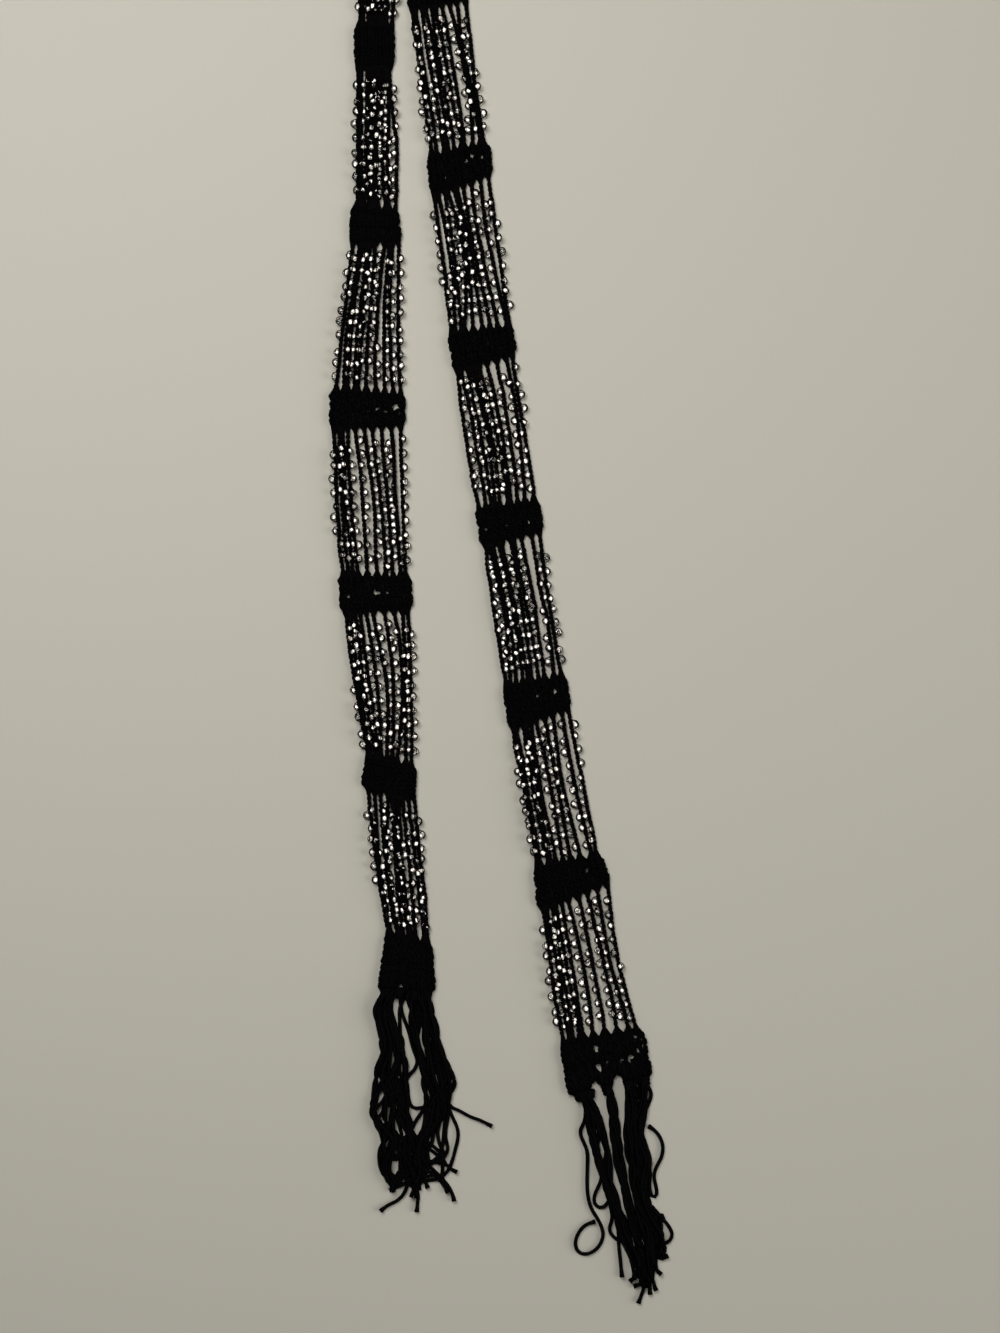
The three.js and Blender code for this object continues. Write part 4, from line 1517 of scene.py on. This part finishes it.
    def build(self) -> None:
        """Makes the tufts, one piece each."""
        rng = np.random.default_rng(self.seed + self.band)
        ways, owners = self.strands(rng)
        settling = Settling(steps=40, cord_radius=YARN_RADIUS - 0.15, stiffness=0.15, margin=1.0)
        ways = settling.run_strands(ways, fixed=3, flat=0.6)
        for number, tuft in enumerate(self.tufts):
            piece = PieceMesh()
            for way, owner in zip(ways, owners):
                if owner != number:
                    continue
                fine = smooth_way(way, self.fine_step)
                radii = np.full(len(fine), YARN_RADIUS)
                radii[-2:] *= (1.15, 1.4)  # the cut end frays
                fine[:, 2] = np.maximum(fine[:, 2], radii)
                piece.tubes(fine[None], radii[None], 6)
            self.add_head(piece, tuft, rng)
            node = f"fringe_{self.hand}_tuft_{number + 1}"
            made = piece.build(f"{node}_yarn", [self.wardrobe.fringe], Slot.FRINGE)
            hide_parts(node)


LEFT_TUFTS = [
    Tuft(
        0.14, 6.2, 0, (0.0, 0.5), -253, 10,
        (
            Stray(-234.8, ((-60, -239.8), (-60.5, -247.2), (-59.2, -252.5), (-55.8, -256.2), (-51.5, -257))),
            Stray(-241.8, ((-55.8, -247.1), (-57.4, -251), (-54.7, -254.8))),
            Stray(-234.0, ((-58.2, -239.8), (-58.8, -246.8), (-57.6, -252), (-55.2, -255), (-52.5, -256.6))),
            Stray(-250.8, ((-44.5, -256.2), (-49, -259), (-55.2, -261.6))),
        ),
    ),
    Tuft(
        0.38, 6.0, 0, (0.5, 1.0), -254, 10,
        (
            Stray(-163.5, (
                (-49.9, -168.0), (-48.6, -174.6), (-45.8, -181.4), (-43.6, -190.7), (-42.5, -193.2),
                (-40.8, -197.5), (-42.5, -201.3), (-44.6, -203.2), (-47, -206), (-48, -216), (-46.5, -226),
                (-43, -234), (-38, -240),
            )),
            Stray(-247.8, ((-46, -256.2), (-47.8, -263.2), (-51.2, -267), (-56.6, -269.2), (-59.7, -272))),
            Stray(-241.8, ((-40, -247.8), (-38, -255.8), (-36, -260.5))),
        ),
    ),
    Tuft(
        0.65, 5.6, 1, (0.0, 0.5), -254, 10,
        (
            Stray(-164.5, (
                (-49.6, -168.3), (-50.3, -174.6), (-50, -180.6), (-49.6, -186.5), (-48.8, -192.4),
                (-47.5, -200), (-47, -208), (-45.8, -216), (-44.6, -220.3), (-41.2, -221.3), (-38.2, -219.4),
                (-36, -222),
            )),
            Stray(-217.5, ((-37.8, -221.1), (-41.2, -225.4), (-43.7, -229.2), (-47.1, -234.7), (-52, -240))),
            Stray(-251.8, ((-42.1, -257), (-40.9, -264), (-41.6, -272.4))),
            Stray(-249.8, ((-30.6, -255.5), (-26, -262.8))),
            Stray(-227.8, ((-33.2, -231.2), (-34.4, -239.5), (-38.2, -243.6), (-42, -240.8))),
            Stray(-240.8, ((-29.8, -244.8), (-32.1, -248.6), (-38.2, -245.5), (-42.5, -248.2))),
        ),
    ),
    Tuft(
        0.88, 5.6, 1, (0.5, 1.0), -252, 10,
        (
            Stray(-222.5, (
                (-32.7, -227.9), (-36, -233), (-39.5, -238), (-43.5, -241), (-47.1, -243.1), (-53, -245),
            )),
            Stray(-216.8, ((-24.5, -220.8), (-21.5, -221), (-15.2, -224.9), (-10, -226.5), (-4, -229.6))),
            Stray(-218.8, (
                (-25, -222.8), (-20.7, -232.5), (-22.9, -243.2), (-25, -250.2), (-29.5, -255.2), (-38, -257),
                (-47.5, -257),
            )),
            Stray(-248.8, ((-29.1, -255.5), (-24.4, -261.6), (-22.9, -267))),
            Stray(-217.5, (
                (-28.9, -220.3), (-30.6, -227), (-31.5, -231.3), (-31, -236.4), (-28.9, -241.4),
                (-28.5, -246.5), (-28.9, -252.4), (-28.7, -255.8),
            )),
            Stray(-217.5, (
                (-25.6, -221.1), (-26.4, -227), (-27.7, -234.7), (-25.7, -239.7), (-26.4, -243.1),
                (-29.3, -246.5), (-31, -248.2),
            )),
            Stray(-217.5, (
                (-27.7, -221.1), (-27.5, -227.9), (-28.9, -239.7), (-31.9, -246.5), (-35.3, -248.2),
            )),
            Stray(-236.8, ((-29.5, -242.8), (-27, -249.8), (-21.4, -252.5))),
        ),
    ),
]
LEFT_LEVELS = [
    Level(-162.8, ((-58.5, -52.6), (-47, -33.5))),
    Level(-166.5, ((-61.2, -53.8), (-46.8, -33.2))),
    Level(-172.1, ((-63.8, -54.2), (-46.1, -32.9))),
    Level(-178.9, ((-62.9, -50.8), (-45.4, -31.3))),
    Level(-186.8, ((-61, -47.4), (-44.2, -29.5))),
    Level(-194.8, ((-60, -45.5), (-41.5, -27.5))),
    Level(-202.5, ((-64.9, -44.8), (-40, -22.4))),
    Level(-208.8, ((-66.8, -44.7), (-39.5, -21.4))),
    Level(-215.2, ((-65.5, -44.7), (-39, -24))),
    Level(-222.2, ((-66.5, -44.5), (-38.8, -25.8))),
    Level(-227.8, ((-64.6, -43.5), (-38.8, -29.5))),
    Level(-231.3, ((-62.7, -43), (-40, -33.5))),
    Level(-235.5, ((-58.4, -42), (-42, -36.5))),
    Level(-240.8, ((-59.8, -41), (-44, -37))),
    Level(-247.8, ((-60.3, -40), (-45, -33.5))),
    Level(-254.2, ((-57.5, -39), (-44, -32.5))),
    Level(-261.8, ((-53.5, -39.5), (-42, -32))),
]
RIGHT_TUFTS = [
    Tuft(
        0.17, 11.0, 0, (0.0, 1.0), -297, 12,
        (
            Stray(-222.8, (
                (42.4, -227.5), (39.4, -231.9), (40.8, -235.9), (43.7, -242.2), (43.5, -252.8),
                (43.7, -263.8), (45.5, -270.8), (48.8, -275.8), (51.7, -282.1), (51.1, -286.9),
                (47.9, -291.6), (41.9, -294.2), (37.6, -290.9), (37.9, -285.2), (41.9, -279.2),
                (47.5, -277.2),
            )),
            Stray(-252.8, (
                (50.4, -257.2), (46.8, -264.5), (47.1, -269.2), (50.4, -271.2), (53.1, -269.2),
                (56.5, -263.8),
            )),
            Stray(-270.8, ((56.3, -276.5), (54.1, -279.8), (55.1, -283.6), (58.7, -286.5), (62.5, -287.2))),
            Stray(-277.8, ((59.1, -286.8), (59.9, -294.8), (60.9, -304.8))),
            Stray(-299.8, ((68.3, -304.2), (64.7, -307.2))),
        ),
    ),
    Tuft(
        0.45, 5.4, 1, (0.0, 1.0), -298, 8,
        (
            Stray(-301.8, ((72.6, -308), (69.1, -318))),
            Stray(-302.8, ((72, -307.8), (66.7, -309.5))),
        ),
    ),
    Tuft(
        0.72, 5.4, 2, (0.0, 0.5), -299, 9,
        (
            Stray(-300.8, ((76, -306.2), (77.9, -311.6))),
            Stray(-301.8, ((74.6, -307.6), (75, -313.6))),
        ),
    ),
    Tuft(
        0.9, 6.4, 2, (0.5, 1.0), -294, 10,
        (
            Stray(-205.8, (
                (73, -207.9), (76.1, -213.1), (74.6, -217.5), (72, -223.2), (70, -231.8), (70.5, -246.8),
            )),
            Stray(-247.8, (
                (75.3, -252.6), (74.4, -257.4), (74.7, -262.9), (76, -265.5), (77.3, -266.3), (78.8, -264.5),
                (78.1, -260.1), (76.6, -255.4), (76.9, -252.6), (78.5, -249), (80.8, -245.4), (81.6, -239.8),
                (80.1, -235), (76.9, -231), (74.2, -229.6),
            )),
            Stray(-268.2, ((77.9, -273.2), (81.9, -273.8), (82.2, -276.5), (79, -278.2))),
            Stray(-270.8, (
                (80, -274.2), (82.6, -277.2), (86.4, -282.9), (85.4, -286.9), (82, -288.8), (78.5, -289.2),
            )),
            Stray(-284.8, ((82.5, -289.2), (82.6, -292.5), (80, -295.8))),
            Stray(-291.8, ((78.6, -296.5), (83.9, -294.2))),
            Stray(-296.8, ((77.4, -301.2), (80.6, -303.6))),
        ),
    ),
]
RIGHT_LEVELS = [
    Level(-204.2, ((34.5, 45), (51, 56.8), (62, 73.2))),
    Level(-211.8, ((36, 45.2), (51.5, 57), (62, 73.5))),
    Level(-217.8, ((41.5, 47), (52, 58), (62.2, 73.5))),
    Level(-222.8, ((42.2, 52), (53, 59.2), (62.2, 73.2))),
    Level(-230.8, ((43.2, 53.2), (53.5, 60.2), (61, 71.2))),
    Level(-237.8, ((44.5, 54.5), (55, 61), (61.5, 73.2))),
    Level(-246.8, ((47, 56.5), (56.5, 62), (62.5, 75.8))),
    Level(-255.8, ((50, 58), (58, 63.5), (64, 73.2))),
    Level(-265.2, ((53.2, 60.5), (60.5, 65.5), (66, 74.0))),
    Level(-273.2, ((56, 63), (63, 67.5), (68, 78.5))),
    Level(-281.8, ((57.5, 65), (65, 69.5), (70, 82.5))),
    Level(-290.2, ((62, 68), (68, 71.5), (72, 82.2))),
    Level(-297.8, ((65.8, 70), (70, 73), (73, 78.2))),
    Level(-304.2, ((66.5, 70.5), (70.5, 73), (73, 76))),
    Level(-311.8, ((67, 70.8), (70.8, 73), (73, 76))),
]


@dataclass
class Studio:
    """A pale table, soft light from the upper right and the camera straight above."""

    lens: float = 50.0
    sensor: float = 36.0
    frame_height: float = 666.5  # millimetres of table from the picture's top to its bottom
    table_half: float = 3.0  # metres
    surroundings: str = "8E8A80"
    dimness: float = 0.3

    def camera(self) -> None:
        """Sets the camera over the middle of the photograph's view."""
        data = bpy.data.cameras.new("camera")
        data.lens = self.lens
        data.sensor_width = self.sensor
        data.sensor_fit = "AUTO"
        data.clip_start = 0.02
        camera = placed("camera", data)
        camera.location = (SHIFT[0] * MM, SHIFT[1] * MM, self.frame_height * MM * self.lens / self.sensor)
        bpy.context.scene.camera = camera

    def table(self) -> None:
        """Makes the pale table top."""
        half = self.table_half
        mesh = bpy.data.meshes.new("table_top")
        corners = [(-half, -half, 0), (half, -half, 0), (half, half, 0), (-half, half, 0)]
        mesh.from_pydata(corners, [], [(0, 1, 2, 3)])
        mesh.materials.append(MattPaper().material())
        placed("table_top", mesh)

    def light(
        self, name: str, place: tuple[float, float, float], size: float, power: float, sparkle: bool = False
    ) -> None:
        """Adds a square soft light that faces the middle of the picture.

        Args:
            name: The light's name.
            place: Where it hangs, in metres.
            size: The length of its side.
            power: Its power in watts.
            sparkle: Whether it is there for the glass alone and leaves matt surfaces as they are.
        """
        data = bpy.data.lights.new(name, "AREA")
        data.size = size
        data.energy = power
        lamp = placed(name, data)
        lamp.visible_diffuse = not sparkle
        lamp.location = place
        x, y, z = np.array(place) - np.array([SHIFT[0] * MM, SHIFT[1] * MM, 0.0])
        lamp.rotation_euler = (math.atan2(math.hypot(x, y), z), 0, math.atan2(x, -y))

    def build(self) -> None:
        """Makes the table, lights, surroundings and camera."""
        self.camera()
        self.table()
        self.light("ceiling", (-0.37, 0.42, 0.98), size=0.7, power=8.25)
        self.light("window", (2.3, -0.55, 1.1), size=1.8, power=32.5)
        self.light("catch_light", (0.1, 0.0, 1.3), size=1.5, power=53.0, sparkle=True)
        world = bpy.data.worlds.new("room")
        world.use_nodes = True
        background = world.node_tree.nodes["Background"]
        background.inputs["Color"].default_value = linear(self.surroundings)
        background.inputs["Strength"].default_value = self.dimness
        bpy.context.scene.world = world
        bpy.context.scene.view_settings.view_transform = "Standard"


def main() -> None:
    """Builds the studio and the scarf, piece by piece."""
    logging.basicConfig(level=logging.INFO, format="%(name)s: %(message)s")
    Studio().build()
    plan = ScarfPlan()
    wardrobe = Wardrobe()
    for number in range(1, len(plan.bands) + 1):
        CrochetBand(number, plan, wardrobe).build()
    for number in range(1, len(PANELS) + 1):
        BeadedPanel(number, plan, wardrobe).build()
    FringeEnd("left", 1, 2.6, LEFT_TUFTS, LEFT_LEVELS, plan, wardrobe).build()
    FringeEnd("right", 17, 1.1, RIGHT_TUFTS, RIGHT_LEVELS, plan, wardrobe).build()


if __name__ == "__main__":
    main()
